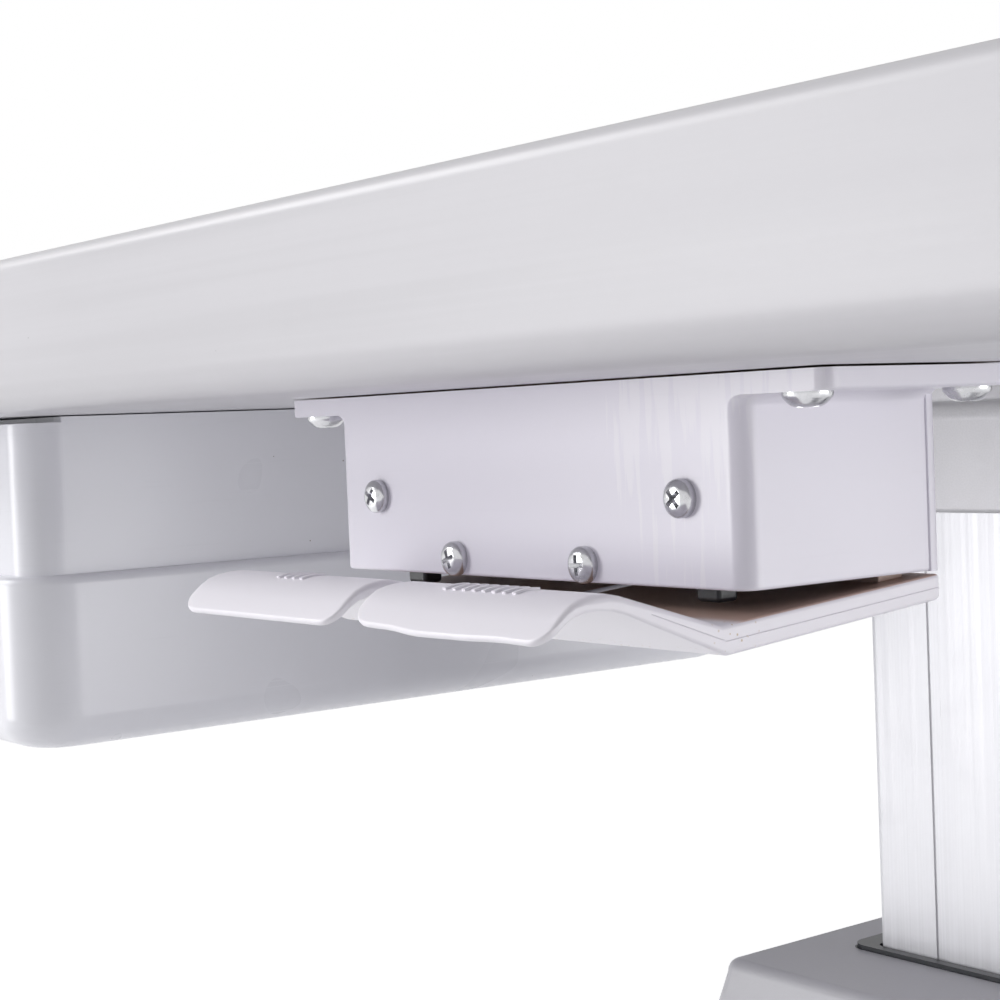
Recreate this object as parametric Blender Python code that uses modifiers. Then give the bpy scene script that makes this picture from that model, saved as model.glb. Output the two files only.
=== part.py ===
"""Ophthalmic instrument table: a lifting column on castors carries a top with a drawer and rocker switches.

Metres, +Z up. The operator stands at -Y. The origin is on the floor, under the middle of the tabletop.
"""
import math

import bmesh
import bpy
from mathutils import Matrix, Vector

# Tabletop
TOP_LENGTH = 0.800
TOP_DEPTH = 0.440
TOP_THICKNESS = 0.0296
TOP_HEIGHT = 0.721
TOP_CORNER = 0.045
TOP_UPPER_EDGE = 0.003
TOP_LOWER_EDGE = 0.006

# Fits
SEAT_GAP = 0.0003
RUN_GAP = 0.0003
HOLE_GAP = 0.0003

# Switch box
BOX_LENGTH = 0.1024
BOX_DEPTH = 0.0413
BOX_HEIGHT = 0.0307
BOX_WALL = 0.0025
BOX_CORNER = 0.0032
BOX_SETBACK = 0.038
EAR_WIDTH = 0.016
EAR_THICKNESS = 0.0031
EAR_CORNER = 0.0045
EAR_SCREW_OUT = 0.0092
EAR_SCREW_INSET = 0.0037

# Microswitches and their plungers
SWITCH_LENGTH = 0.0278
SWITCH_DEPTH = 0.0103
SWITCH_HEIGHT = 0.0159
SWITCH_SPACING = 0.0553
SWITCH_HOLE_PITCH_ACROSS = 0.0222
SWITCH_HOLE_PITCH_UP = 0.0103
PLUNGER_WIDTH = 0.005
PLUNGER_DEPTH = 0.004
PLUNGER_REACH = 0.0026
PLUNGER_INSIDE = 0.004
PLUNGER_TRAVEL = 0.0016
PLUNGER_SIDE_STEP = 0.0093

# Rocker paddles. Their profile runs from the rear end over the valley and the hump to the lip;
# top and underside are given ahead of the box's front and above its bottom
PADDLE_WIDTH = 0.046
PADDLE_SPACE = 0.004
PADDLE_END_INSET = 0.0004
PADDLE_REAR_REACH = 0.0004
PADDLE_REAR_DROP = 0.0006
PADDLE_REAR_THICKNESS = 0.004
PADDLE_TOP_VALLEY = (0.0046, -0.0043)
PADDLE_TOP_HUMP = (0.0290, 0.0034)
PADDLE_TOP_LIP = (0.0371, -0.0036)
PADDLE_TOP_RADII = (0.0005, 0.0120)
PADDLE_UNDER_VALLEY = (0.0037, -0.0086)
PADDLE_UNDER_HUMP = (0.0287, 0.0015)
PADDLE_UNDER_LIP = (0.0363, -0.0044)
PADDLE_UNDER_RADII = (0.0125, 0.0012)
PADDLE_EDGE = 0.0005
PIN_RADIUS = 0.0015
PIN_SOCKET = 0.0014
PIN_FROM_BACK = 0.0063
PIN_ABOVE_BOTTOM = 0.0027
KNUCKLE_RADIUS = 0.0028
KNUCKLE_WIDTH = 0.008
KNUCKLE_INSET = 0.004
KNUCKLE_ROOT = 0.002

# Drawer under the left of the tabletop: a fixed housing above, a sliding tub below
DRAWER_END_INSET = 0.0402
DRAWER_WIDTH = 0.195
DRAWER_LENGTH = 0.2255
DRAWER_SETBACK = 0.0265
DRAWER_HEIGHT = 0.0765
DRAWER_CORNER = 0.015
DRAWER_EDGE = 0.008
DRAWER_WALL = 0.0025
DRAWER_FRONT_WALL = 0.014
DRAWER_FACE_WALL = 0.0095
DRAWER_FACE_DROP = 0.0015
TIER_HEIGHT = 0.0365
TIER_STEP = 0.003
ROOF_THICKNESS = 0.003
RAIL_WIDTH = 0.005
RAIL_THICKNESS = 0.0025
RIM_THICKNESS = 0.0025
PULL_WIDTH = 0.090
PULL_DEPTH = 0.008
PULL_HEIGHT = 0.016
PULL_CORNER = 0.003
HOUSING_SCREW_ACROSS = 0.120
HOUSING_SCREW_ALONG = 0.150

# Lifting column
COLUMN_WIDTH = 0.1135
COLUMN_DEPTH = 0.072
COLUMN_WALL = 0.004
COLUMN_CORNER = 0.002
GROOVE_INSET = 0.0185
GROOVE_WIDTH = 0.002
GROOVE_DEPTH = 0.0012
COLUMN_HIDDEN = 0.300
BUSH_WALL = 0.0076
BUSH_LENGTH = 0.040
TUBE_WALL = 0.003
TUBE_BELOW_COVER = 0.006
PLATE_MARGIN = 0.013
PLATE_THICKNESS = 0.008
HEAD_HEIGHT = 0.0287
HEAD_WALL = 0.006
HEAD_POCKET = 0.020
FLANGE_LENGTH = 0.180
FLANGE_DEPTH = 0.120
FLANGE_THICKNESS = 0.005
FLANGE_SCREW_INSET = 0.012

# Linear actuator inside the column
GEARBOX_LENGTH = 0.084
GEARBOX_DEPTH = 0.052
GEARBOX_HEIGHT = 0.038
SPINDLE_SIDE_STEP = 0.016
MOTOR_SIDE_STEP = 0.025
MOTOR_RADIUS = 0.016
MOTOR_LENGTH = 0.090
SPINDLE_TUBE_RADIUS = 0.017
SPINDLE_TUBE_BORE = 0.0113
SPINDLE_TUBE_LENGTH = 0.270
ROD_RADIUS = 0.011
ROD_HIDDEN = 0.130

# Pedestal cover and the control unit behind the tube
COVER_TOP = 0.561
COVER_WALL = 0.003
COVER_SIDE_SPACE = 0.0068
COVER_FRONT_SPACE = 0.0163
COVER_SIDE_FLARE = 0.017
COVER_FRONT_FLARE = 0.023
COVER_CORNER = 0.004
COVER_EDGE = 0.003
SLOT_SIDE_SPACE = 0.0062
SLOT_FRONT_SPACE = 0.003
CONTROL_WIDTH = 0.080
CONTROL_DEPTH = 0.014
CONTROL_HEIGHT = 0.110
CONTROL_FOOT = 0.020

# Base
FOOT_BOTTOM = 0.064
FOOT_HEIGHT = 0.040
FOOT_WIDTH = 0.060
FOOT_LENGTH = 0.420
FOOT_SPREAD = 0.500
FOOT_CORNER = 0.024
FOOT_EDGE = 0.008
BEAM_DEPTH = 0.190
BEAM_WALL = 0.003
BEAM_EDGE = 0.006
INLET_FLANGE_WIDTH = 0.050
INLET_FLANGE_HEIGHT = 0.026
INLET_FLANGE_THICKNESS = 0.003
INLET_BODY_WIDTH = 0.030
INLET_BODY_HEIGHT = 0.021
INLET_BODY_DEPTH = 0.020
INLET_SOCKET_WALL = 0.0025
INLET_SOCKET_DEPTH = 0.016

# Castors
CASTOR_SPREAD = 0.330
CASTOR_TRAIL = 0.018
WHEEL_RADIUS = 0.025
WHEEL_WIDTH = 0.020
WHEEL_EDGE = 0.004
WHEEL_DISH = 0.002
WHEEL_HUB_RADIUS = 0.010
WHEEL_RIM_RADIUS = 0.018
AXLE_RADIUS = 0.004
AXLE_HEAD_RADIUS = 0.006
AXLE_HEAD_HEIGHT = 0.0015
FORK_SIDE_GAP = 0.002
FORK_WALL = 0.0025
FORK_AXLE_RADIUS = 0.008
FORK_CROWN_HEIGHT = 0.004
FORK_CROWN_REACH = 0.012
FORK_TOP_GAP = 0.003
STEM_RADIUS = 0.005
STEM_LENGTH = 0.028
BRAKE_THICKNESS = 0.003
BRAKE_REACH = 0.029
BRAKE_SIDE_GAP = 0.0006
BRAKE_PIVOT_AHEAD = 0.001
BRAKE_PIVOT_DROP = 0.004
BRAKE_PIVOT_RADIUS = 0.002
BRAKE_PIVOT_LENGTH = 0.0018
BRAKE_SHOE_OUT = 0.012
BRAKE_SHOE_RADIUS = 0.003

# Screws: head radius, head height, shank radius and shank length,
# and the shares of a head that are straight up its side and flat across its crown
EAR_SCREW = (0.0036, 0.0022, 0.0020, 0.016)
SWITCH_SCREW = (0.0029, 0.0021, 0.0015, 0.0145)
FLANGE_SCREW = (0.0055, 0.0036, 0.0030, 0.020)
HOUSING_SCREW = (0.0040, 0.0026, 0.0020, 0.016)
HEAD_STRAIGHT_SHARE = 0.5
HEAD_CROWN_SHARE = 0.6

# Mesh fineness
CORNER_STEPS = 5
EDGE_STEPS = 2
ROUND_STEPS = 12
WHEEL_STEPS = 24
ARC_STEPS = 5
MERGE_DISTANCE = 0.000001
SMOOTH_ANGLE = math.radians(35)

# Places that follow from the sizes above
UNDERSIDE = TOP_HEIGHT - TOP_THICKNESS
TOP_FRONT = -TOP_DEPTH / 2
BOX_FRONT = TOP_FRONT + BOX_SETBACK
BOX_BACK = BOX_FRONT + BOX_DEPTH
BOX_TOP = UNDERSIDE - SEAT_GAP
BOX_BOTTOM = BOX_TOP - BOX_HEIGHT
SWITCH_FRONT = BOX_FRONT + BOX_WALL + SEAT_GAP
SWITCH_BACK = SWITCH_FRONT + SWITCH_DEPTH
SWITCH_TOP = BOX_BOTTOM + SWITCH_HEIGHT
SWITCH_MIDDLE = (SWITCH_TOP + BOX_BOTTOM) / 2
PLUNGER_Y = (SWITCH_FRONT + SWITCH_BACK) / 2
PIN_Y = BOX_BACK - PIN_FROM_BACK
PIN_Z = BOX_BOTTOM + PIN_ABOVE_BOTTOM
PIN_HALF = BOX_LENGTH / 2 - BOX_WALL + PIN_SOCKET - SEAT_GAP
TIER = UNDERSIDE - TIER_HEIGHT
DRAWER_LEFT = -TOP_LENGTH / 2 + DRAWER_END_INSET
DRAWER_RIGHT = DRAWER_LEFT + DRAWER_WIDTH
DRAWER_FRONT = TOP_FRONT + DRAWER_SETBACK
DRAWER_BACK = DRAWER_FRONT + DRAWER_LENGTH
DRAWER_BOTTOM = UNDERSIDE - DRAWER_HEIGHT
FACE_FRONT = DRAWER_FRONT + TIER_STEP
FACE_BACK = FACE_FRONT + DRAWER_FACE_WALL
HOUSING_BOTTOM = TIER + SEAT_GAP / 2
TUB_TOP = TIER - SEAT_GAP / 2
RAIL_TOP = HOUSING_BOTTOM + RAIL_THICKNESS
RIM_BOTTOM = RAIL_TOP + RUN_GAP
RIM_TOP = RIM_BOTTOM + RIM_THICKNESS
HOUSING_SIDE_INSET = TIER_STEP + DRAWER_WALL
NECK_INSET = HOUSING_SIDE_INSET + RAIL_WIDTH + RUN_GAP
FOOT_TOP = FOOT_BOTTOM + FOOT_HEIGHT
FOOT_INNER = FOOT_SPREAD / 2 - FOOT_WIDTH / 2
PLATE_BOTTOM = FOOT_TOP + SEAT_GAP
PLATE_TOP = PLATE_BOTTOM + PLATE_THICKNESS
TUBE_INNER_WIDTH = COLUMN_WIDTH + 2 * (BUSH_WALL + RUN_GAP + SEAT_GAP)
TUBE_INNER_DEPTH = COLUMN_DEPTH + 2 * (BUSH_WALL + RUN_GAP + SEAT_GAP)
TUBE_WIDTH = TUBE_INNER_WIDTH + 2 * TUBE_WALL
TUBE_DEPTH = TUBE_INNER_DEPTH + 2 * TUBE_WALL
TUBE_BOTTOM = PLATE_TOP + SEAT_GAP
TUBE_TOP = COVER_TOP - COVER_WALL - TUBE_BELOW_COVER
COLUMN_BOTTOM = COVER_TOP - COLUMN_HIDDEN
HEAD_TOP = UNDERSIDE - SEAT_GAP
HEAD_BOTTOM = HEAD_TOP - HEAD_HEIGHT
POCKET_TOP = HEAD_BOTTOM + HEAD_POCKET
COLUMN_TOP = POCKET_TOP - SEAT_GAP
FORK_TOP = FOOT_BOTTOM - FORK_TOP_GAP
CROWN_BOTTOM = FORK_TOP - FORK_CROWN_HEIGHT
FORK_INNER = WHEEL_WIDTH / 2 + FORK_SIDE_GAP
FORK_OUTER = FORK_INNER + FORK_WALL


def remove_old_objects():
    """Empty the scene before the model is built."""
    for old in list(bpy.data.objects):
        bpy.data.objects.remove(old, do_unlink=True)


def new_collection(name):
    """Collection of that name, linked to the scene."""
    collection = bpy.data.collections.new(name)
    bpy.context.scene.collection.children.link(collection)
    return collection


def finish(name, colour, roughness, metallic=0.0):
    """Principled material of one colour."""
    material = bpy.data.materials.new(name)
    material.use_nodes = True
    shader = material.node_tree.nodes["Principled BSDF"]
    shader.inputs["Base Color"].default_value = (*colour, 1.0)
    shader.inputs["Roughness"].default_value = roughness
    shader.inputs["Metallic"].default_value = metallic
    return material


def round_edges(bm, edges, radius, steps):
    """Bevel some edges to a radius."""
    bmesh.ops.bevel(bm, geom=edges, offset=radius, offset_type="OFFSET", segments=steps, profile=0.5,
                    affect="EDGES", clamp_overlap=False, material=-1)


def rim_edges(bm, height):
    """Edges that lie flat at a height."""
    return [edge for edge in bm.edges if all(abs(v.co.z - height) < MERGE_DISTANCE for v in edge.verts)]


def upright_edges(bm):
    """Edges that run up and down."""
    return [edge for edge in bm.edges if abs(edge.verts[0].co.z - edge.verts[1].co.z) > MERGE_DISTANCE]


def block(low, high, corner=0.0, top_edge=0.0, bottom_edge=0.0, flare=(0.0, 0.0)):
    """Block between two corners, with round upright edges and rims; flare widens its foot on each side."""
    low, high = Vector(low), Vector(high)
    middle = (low + high) / 2
    bm = bmesh.new()
    place = Matrix.Translation(middle) @ Matrix.Diagonal((*(high - low), 1.0))
    bmesh.ops.create_cube(bm, size=1.0, matrix=place)
    for vert in bm.verts:
        if vert.co.z < middle.z:
            vert.co.x += math.copysign(flare[0], vert.co.x - middle.x)
            vert.co.y += math.copysign(flare[1], vert.co.y - middle.y)
    if corner:
        round_edges(bm, upright_edges(bm), corner, CORNER_STEPS)
    if top_edge:
        round_edges(bm, rim_edges(bm, high.z), top_edge, EDGE_STEPS)
    if bottom_edge:
        round_edges(bm, rim_edges(bm, low.z), bottom_edge, EDGE_STEPS)
    return bm


def turned(profile, centre, axis=(0, 0, 1), steps=ROUND_STEPS):
    """Solid turned from (radius, height) points about an axis through a centre."""
    bm = bmesh.new()
    verts = [bm.verts.new((radius, 0.0, height)) for radius, height in profile]
    pairs = list(zip(verts, verts[1:]))
    if profile[0][0] > 0:
        pairs.append((verts[-1], verts[0]))
    edges = [bm.edges.new(pair) for pair in pairs]
    bmesh.ops.spin(bm, geom=verts + edges, cent=(0, 0, 0), axis=(0, 0, 1), dvec=(0, 0, 0),
                   angle=2 * math.pi, steps=steps, use_merge=True)
    bmesh.ops.remove_doubles(bm, verts=bm.verts, dist=MERGE_DISTANCE)
    bmesh.ops.recalc_face_normals(bm, faces=bm.faces)
    turn = Vector((0, 0, 1)).rotation_difference(Vector(axis)).to_matrix().to_4x4()
    bmesh.ops.transform(bm, matrix=Matrix.Translation(centre) @ turn, verts=bm.verts)
    return bm


def rod(radius, centre, axis, low, high, steps=ROUND_STEPS):
    """Plain round bar from low to high along an axis through a centre."""
    return turned([(0.0, low), (radius, low), (radius, high), (0.0, high)], centre, axis, steps)


def prism_across(outline, low, high):
    """Solid with an outline of (y, z) points, between two places along X."""
    bm = bmesh.new()
    verts = [bm.verts.new((low, y, z)) for y, z in outline]
    edges = [bm.edges.new(pair) for pair in zip(verts, verts[1:] + verts[:1])]
    face = bmesh.ops.contextual_create(bm, geom=edges)["faces"]
    grown = bmesh.ops.extrude_face_region(bm, geom=face)["geom"]
    far = [g for g in grown if isinstance(g, bmesh.types.BMVert)]
    bmesh.ops.translate(bm, vec=(high - low, 0, 0), verts=far)
    bmesh.ops.recalc_face_normals(bm, faces=bm.faces)
    return bm


def together(*shapes):
    """One mesh from several separate shapes."""
    mesh = bpy.data.meshes.new("gathered")
    bm = bmesh.new()
    for shape in shapes:
        shape.to_mesh(mesh)
        shape.free()
        bm.from_mesh(mesh)
    bpy.data.meshes.remove(mesh)
    return bm


def arc(centre, radius, start, end, steps=ARC_STEPS):
    """Points along an arc, with angles in degrees."""
    angles = [math.radians(start + (end - start) * step / steps) for step in range(steps + 1)]
    return [(centre[0] + radius * math.cos(a), centre[1] + radius * math.sin(a)) for a in angles]


def filleted(points, radii):
    """Path through the points, whose inner corners are rounded to the radii."""
    path = [Vector(points[0])]
    for before, corner, after, radius in zip(points, points[1:], points[2:], radii):
        corner = Vector(corner)
        inward = (Vector(before) - corner).normalized()
        outward = (Vector(after) - corner).normalized()
        half = inward.angle(outward) / 2
        reach = radius / math.tan(half)
        centre = corner + (inward + outward).normalized() * radius / math.sin(half)
        first = corner + inward * reach - centre
        turn = (corner + outward * reach - centre).angle_signed(first)
        for step in range(ARC_STEPS + 1):
            path.append(centre + Matrix.Rotation(turn * step / ARC_STEPS, 2) @ first)
    path.append(Vector(points[-1]))
    return path


def world_place(parent):
    """Where an unturned empty stands in the world."""
    place = Vector((0, 0, 0))
    while parent:
        place += parent.location
        parent = parent.parent
    return place


class Table:
    """The model's collections, its empties and the ways to add a piece."""

    def __init__(self):
        """Make the collections and the two empties that carry the pieces."""
        self.parts = new_collection("ophthalmic_instrument_table")
        self.cutters = new_collection("cutters")
        self.base = self.carrier("base_carrier", (0, 0, 0))
        self.lift = self.carrier("lift_carrier", (0, 0, UNDERSIDE), self.base)

    def carrier(self, name, place, parent=None):
        """Empty that carries the pieces which move together."""
        empty = bpy.data.objects.new(name, None)
        self.parts.objects.link(empty)
        empty.parent = parent
        empty.location = Vector(place) - world_place(parent)
        return empty

    def piece(self, name, bm, material, parent, origin=(0, 0, 0)):
        """Add one named piece, modelled in the world frame, with its origin where it turns or seats."""
        bmesh.ops.translate(bm, vec=-Vector(origin), verts=bm.verts)
        mesh = bpy.data.meshes.new(name)
        bm.to_mesh(mesh)
        bm.free()
        mesh.shade_smooth()
        mesh.set_sharp_from_angle(angle=SMOOTH_ANGLE)
        mesh.materials.append(material)
        obj = bpy.data.objects.new(name, mesh)
        self.parts.objects.link(obj)
        obj.parent = parent
        obj.location = Vector(origin) - world_place(parent)
        return obj

    def boolean(self, target, operation, label, bm):
        """Cut a shape from a piece, or join it on, with a hidden helper object."""
        mesh = bpy.data.meshes.new(label)
        bm.to_mesh(mesh)
        bm.free()
        helper = bpy.data.objects.new(f"{target.name}_{label}", mesh)
        self.cutters.objects.link(helper)
        helper.hide_render = True
        helper.display_type = "WIRE"
        modifier = target.modifiers.new(label, "BOOLEAN")
        modifier.operation = operation
        modifier.object = helper
        modifier.solver = "EXACT"

    def cut(self, target, label, bm):
        """Cut a shape from a piece."""
        self.boolean(target, "DIFFERENCE", label, bm)

    def join(self, target, label, bm):
        """Join a shape on to a piece."""
        self.boolean(target, "UNION", label, bm)


def screw_shape(sizes, seat, axis):
    """Pan-head screw whose head sits on a seat, outside it, and whose shank goes in along the axis."""
    head_radius, head_height, shank_radius, shank_length = sizes
    profile = [
        (0.0, shank_length),
        (shank_radius, shank_length),
        (shank_radius, -SEAT_GAP),
        (head_radius, -SEAT_GAP),
        (head_radius, -HEAD_STRAIGHT_SHARE * head_height),
        (HEAD_CROWN_SHARE * head_radius, -head_height),
        (0.0, -head_height),
    ]
    return turned(profile, seat, axis)


def screw_hole(sizes, seat, axis, start, depth):
    """Cutter for the hole that a screw's shank goes through, from start to depth along its axis."""
    return rod(sizes[2] + HOLE_GAP, seat, axis, start, depth)


def ear_screw_places():
    """Seats of the four screws that hold the switch box to the tabletop, under its ears."""
    across = BOX_LENGTH / 2 + EAR_SCREW_OUT
    along = (BOX_FRONT + EAR_SCREW_INSET, BOX_BACK - EAR_SCREW_INSET)
    return [(side * across, y, BOX_TOP - EAR_THICKNESS) for side in (-1, 1) for y in along]


def switch_screw_places(side):
    """Seats of one switch's two screws, on the front of the box: outer above, inner below."""
    middle = side * SWITCH_SPACING / 2
    across = side * SWITCH_HOLE_PITCH_ACROSS / 2
    up = SWITCH_HOLE_PITCH_UP / 2
    return [(middle + way * across, BOX_FRONT, SWITCH_MIDDLE + way * up) for way in (-1, 1)]


def flange_screw_places():
    """Seats of the four screws that hold the column head to the tabletop."""
    across = FLANGE_LENGTH / 2 - FLANGE_SCREW_INSET
    along = FLANGE_DEPTH / 2 - FLANGE_SCREW_INSET
    seat = HEAD_TOP - FLANGE_THICKNESS
    return [(x, y, seat) for x in (-across, across) for y in (-along, along)]


def housing_screw_places():
    """Seats of the four screws that hold the drawer housing to the tabletop."""
    middle_x = (DRAWER_LEFT + DRAWER_RIGHT) / 2
    middle_y = (FACE_BACK + DRAWER_BACK) / 2
    seat = UNDERSIDE - SEAT_GAP - ROOF_THICKNESS
    across, along = HOUSING_SCREW_ACROSS / 2, HOUSING_SCREW_ALONG / 2
    return [(middle_x + dx, middle_y + dy, seat) for dx in (-across, across) for dy in (-along, along)]


def make_tabletop(table):
    """Tabletop with the pilot holes of every screw that comes up into it."""
    laminate = finish("tabletop_laminate", (0.78, 0.77, 0.79), 0.35)
    low = (-TOP_LENGTH / 2, -TOP_DEPTH / 2, UNDERSIDE)
    high = (TOP_LENGTH / 2, TOP_DEPTH / 2, TOP_HEIGHT)
    slab = block(low, high, TOP_CORNER, TOP_UPPER_EDGE, TOP_LOWER_EDGE)
    top = table.piece("tabletop", slab, laminate, table.lift, (0, 0, UNDERSIDE))
    holes = []
    for sizes, places in ((EAR_SCREW, ear_screw_places()), (FLANGE_SCREW, flange_screw_places()),
                          (HOUSING_SCREW, housing_screw_places())):
        for seat in places:
            holes.append(screw_hole(sizes, seat, (0, 0, 1), 0.0, sizes[3] + HOLE_GAP))
    table.cut(top, "pilot_holes", together(*holes))


def make_switch_box(table):
    """White box under the front edge, open above and below, with ears at both ends."""
    moulded = finish("switch_box_plastic", (0.80, 0.76, 0.82), 0.25)
    half = BOX_LENGTH / 2
    seam = BOX_TOP - EAR_THICKNESS / 2
    walls = block((-half, BOX_FRONT, BOX_BOTTOM), (half, BOX_BACK, seam), BOX_CORNER)
    box = table.piece("switch_box", walls, moulded, table.lift, (0, BOX_FRONT, BOX_TOP))
    ear_half = half + EAR_WIDTH
    ears = block((-ear_half, BOX_FRONT, BOX_TOP - EAR_THICKNESS), (ear_half, BOX_BACK, BOX_TOP), EAR_CORNER)
    table.join(box, "ears", ears)
    inner_low = (-half + BOX_WALL, BOX_FRONT + BOX_WALL, BOX_BOTTOM - BOX_WALL)
    inner_high = (half - BOX_WALL, BOX_BACK - BOX_WALL, BOX_TOP + BOX_WALL)
    table.cut(box, "inside", block(inner_low, inner_high))
    holes = []
    for seat in ear_screw_places():
        holes.append(screw_hole(EAR_SCREW, seat, (0, 0, 1), -EAR_THICKNESS, 2 * EAR_THICKNESS))
    for side in (-1, 1):
        for seat in switch_screw_places(side):
            holes.append(screw_hole(SWITCH_SCREW, seat, (0, 1, 0), -BOX_WALL, 2 * BOX_WALL))
    socket_end = half - BOX_WALL + PIN_SOCKET
    holes.append(rod(PIN_RADIUS + HOLE_GAP, (0, PIN_Y, PIN_Z), (1, 0, 0), -socket_end, socket_end))
    table.cut(box, "holes", together(*holes))


def make_switches(table):
    """Two microswitches inside the front of the box, each with a plunger that sticks out below."""
    body = finish("switch_body_plastic", (0.05, 0.05, 0.05), 0.5)
    nylon = finish("plunger_plastic", (0.02, 0.02, 0.02), 0.4)
    for side, label in ((-1, "up"), (1, "down")):
        middle = side * SWITCH_SPACING / 2
        low = (middle - SWITCH_LENGTH / 2, SWITCH_FRONT, BOX_BOTTOM)
        high = (middle + SWITCH_LENGTH / 2, SWITCH_BACK, SWITCH_TOP)
        place = (middle, SWITCH_FRONT, BOX_BOTTOM)
        switch = table.piece(f"{label}_switch", block(low, high), body, table.lift, place)
        plunger_x = middle + side * PLUNGER_SIDE_STEP
        half_x, half_y = PLUNGER_WIDTH / 2, PLUNGER_DEPTH / 2
        slot_x, slot_y = half_x + RUN_GAP, half_y + RUN_GAP
        slot_top = BOX_BOTTOM + PLUNGER_INSIDE + PLUNGER_TRAVEL + 2 * RUN_GAP
        slot = block((plunger_x - slot_x, PLUNGER_Y - slot_y, BOX_BOTTOM - RUN_GAP),
                     (plunger_x + slot_x, PLUNGER_Y + slot_y, slot_top))
        holes = [screw_hole(SWITCH_SCREW, seat, (0, 1, 0), 0.0, BOX_WALL + 2 * SWITCH_DEPTH)
                 for seat in switch_screw_places(side)]
        table.cut(switch, "slot_and_holes", together(slot, *holes))
        stem = block((plunger_x - half_x, PLUNGER_Y - half_y, BOX_BOTTOM - PLUNGER_REACH),
                     (plunger_x + half_x, PLUNGER_Y + half_y, BOX_BOTTOM + PLUNGER_INSIDE))
        table.piece(f"{label}_plunger", stem, nylon, table.lift, (plunger_x, PLUNGER_Y, BOX_BOTTOM))


def paddle_outline():
    """Outline of a paddle's profile, as (y, z) points: its top to the lip, and its underside back."""
    rear_y, rear_z = BOX_BACK + PADDLE_REAR_REACH, BOX_BOTTOM - PADDLE_REAR_DROP
    top = [(rear_y, rear_z)]
    for ahead, rise in (PADDLE_TOP_VALLEY, PADDLE_TOP_HUMP, PADDLE_TOP_LIP):
        top.append((BOX_FRONT - ahead, BOX_BOTTOM + rise))
    under = []
    for ahead, rise in (PADDLE_UNDER_LIP, PADDLE_UNDER_HUMP, PADDLE_UNDER_VALLEY):
        under.append((BOX_FRONT - ahead, BOX_BOTTOM + rise))
    under.append((rear_y, rear_z - PADDLE_REAR_THICKNESS))
    return filleted(top, PADDLE_TOP_RADII) + filleted(under, PADDLE_UNDER_RADII)


def knuckle(low, high):
    """Hinge knuckle: round over the pin, straight down into the paddle's rear arm."""
    root = BOX_BOTTOM - PADDLE_REAR_DROP - KNUCKLE_ROOT
    outline = arc((PIN_Y, PIN_Z), KNUCKLE_RADIUS, 0, 180, 2 * ARC_STEPS)
    outline += [(PIN_Y - KNUCKLE_RADIUS, root), (PIN_Y + KNUCKLE_RADIUS, root)]
    return prism_across(outline, low, high)


def make_paddles(table):
    """Two rocker paddles on one pin along the rear of the box."""
    moulded = finish("paddle_plastic", (0.82, 0.80, 0.84), 0.3)
    steel = finish("pin_steel", (0.6, 0.6, 0.6), 0.3, 1.0)
    pin_place = (0, PIN_Y, PIN_Z)
    pin = rod(PIN_RADIUS, pin_place, (1, 0, 0), -PIN_HALF, PIN_HALF)
    table.piece("paddle_pin", pin, steel, table.lift, pin_place)
    right_end = BOX_LENGTH / 2 - PADDLE_END_INSET
    for label, high in (("down", right_end), ("up", right_end - PADDLE_WIDTH - PADDLE_SPACE)):
        low = high - PADDLE_WIDTH
        carrier = table.carrier(f"{label}_paddle_carrier", ((low + high) / 2, PIN_Y, PIN_Z), table.lift)
        paddle = table.piece(f"{label}_paddle", prism_across(paddle_outline(), low, high), moulded, carrier,
                             ((low + high) / 2, PIN_Y, PIN_Z))
        edge = paddle.modifiers.new("round_edges", "BEVEL")
        edge.width = PADDLE_EDGE
        edge.segments = 1
        edge.limit_method = "ANGLE"
        edge.angle_limit = math.radians(60)
        near = knuckle(high - KNUCKLE_INSET - KNUCKLE_WIDTH, high - KNUCKLE_INSET)
        far = knuckle(low + KNUCKLE_INSET, low + KNUCKLE_INSET + KNUCKLE_WIDTH)
        table.join(paddle, "knuckles", together(near, far))
        bore = rod(PIN_RADIUS + HOLE_GAP, pin_place, (1, 0, 0), low - KNUCKLE_INSET, high + KNUCKLE_INSET)
        table.cut(paddle, "pin_bore", bore)


def make_screws(table):
    """All the pan-head screws, each a piece of its own."""
    zinc = finish("screw_zinc", (0.62, 0.62, 0.64), 0.25, 1.0)
    front_seats = [seat for side in (-1, 1) for seat in switch_screw_places(side)]
    groups = (
        ("ear", EAR_SCREW, (0, 0, 1), ear_screw_places()),
        ("switch", SWITCH_SCREW, (0, 1, 0), front_seats),
        ("flange", FLANGE_SCREW, (0, 0, 1), flange_screw_places()),
        ("housing", HOUSING_SCREW, (0, 0, 1), housing_screw_places()),
    )
    for label, sizes, axis, seats in groups:
        for number, seat in enumerate(seats, 1):
            screw = screw_shape(sizes, seat, axis)
            table.piece(f"{label}_screw_{number}", screw, zinc, table.lift, seat)


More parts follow.
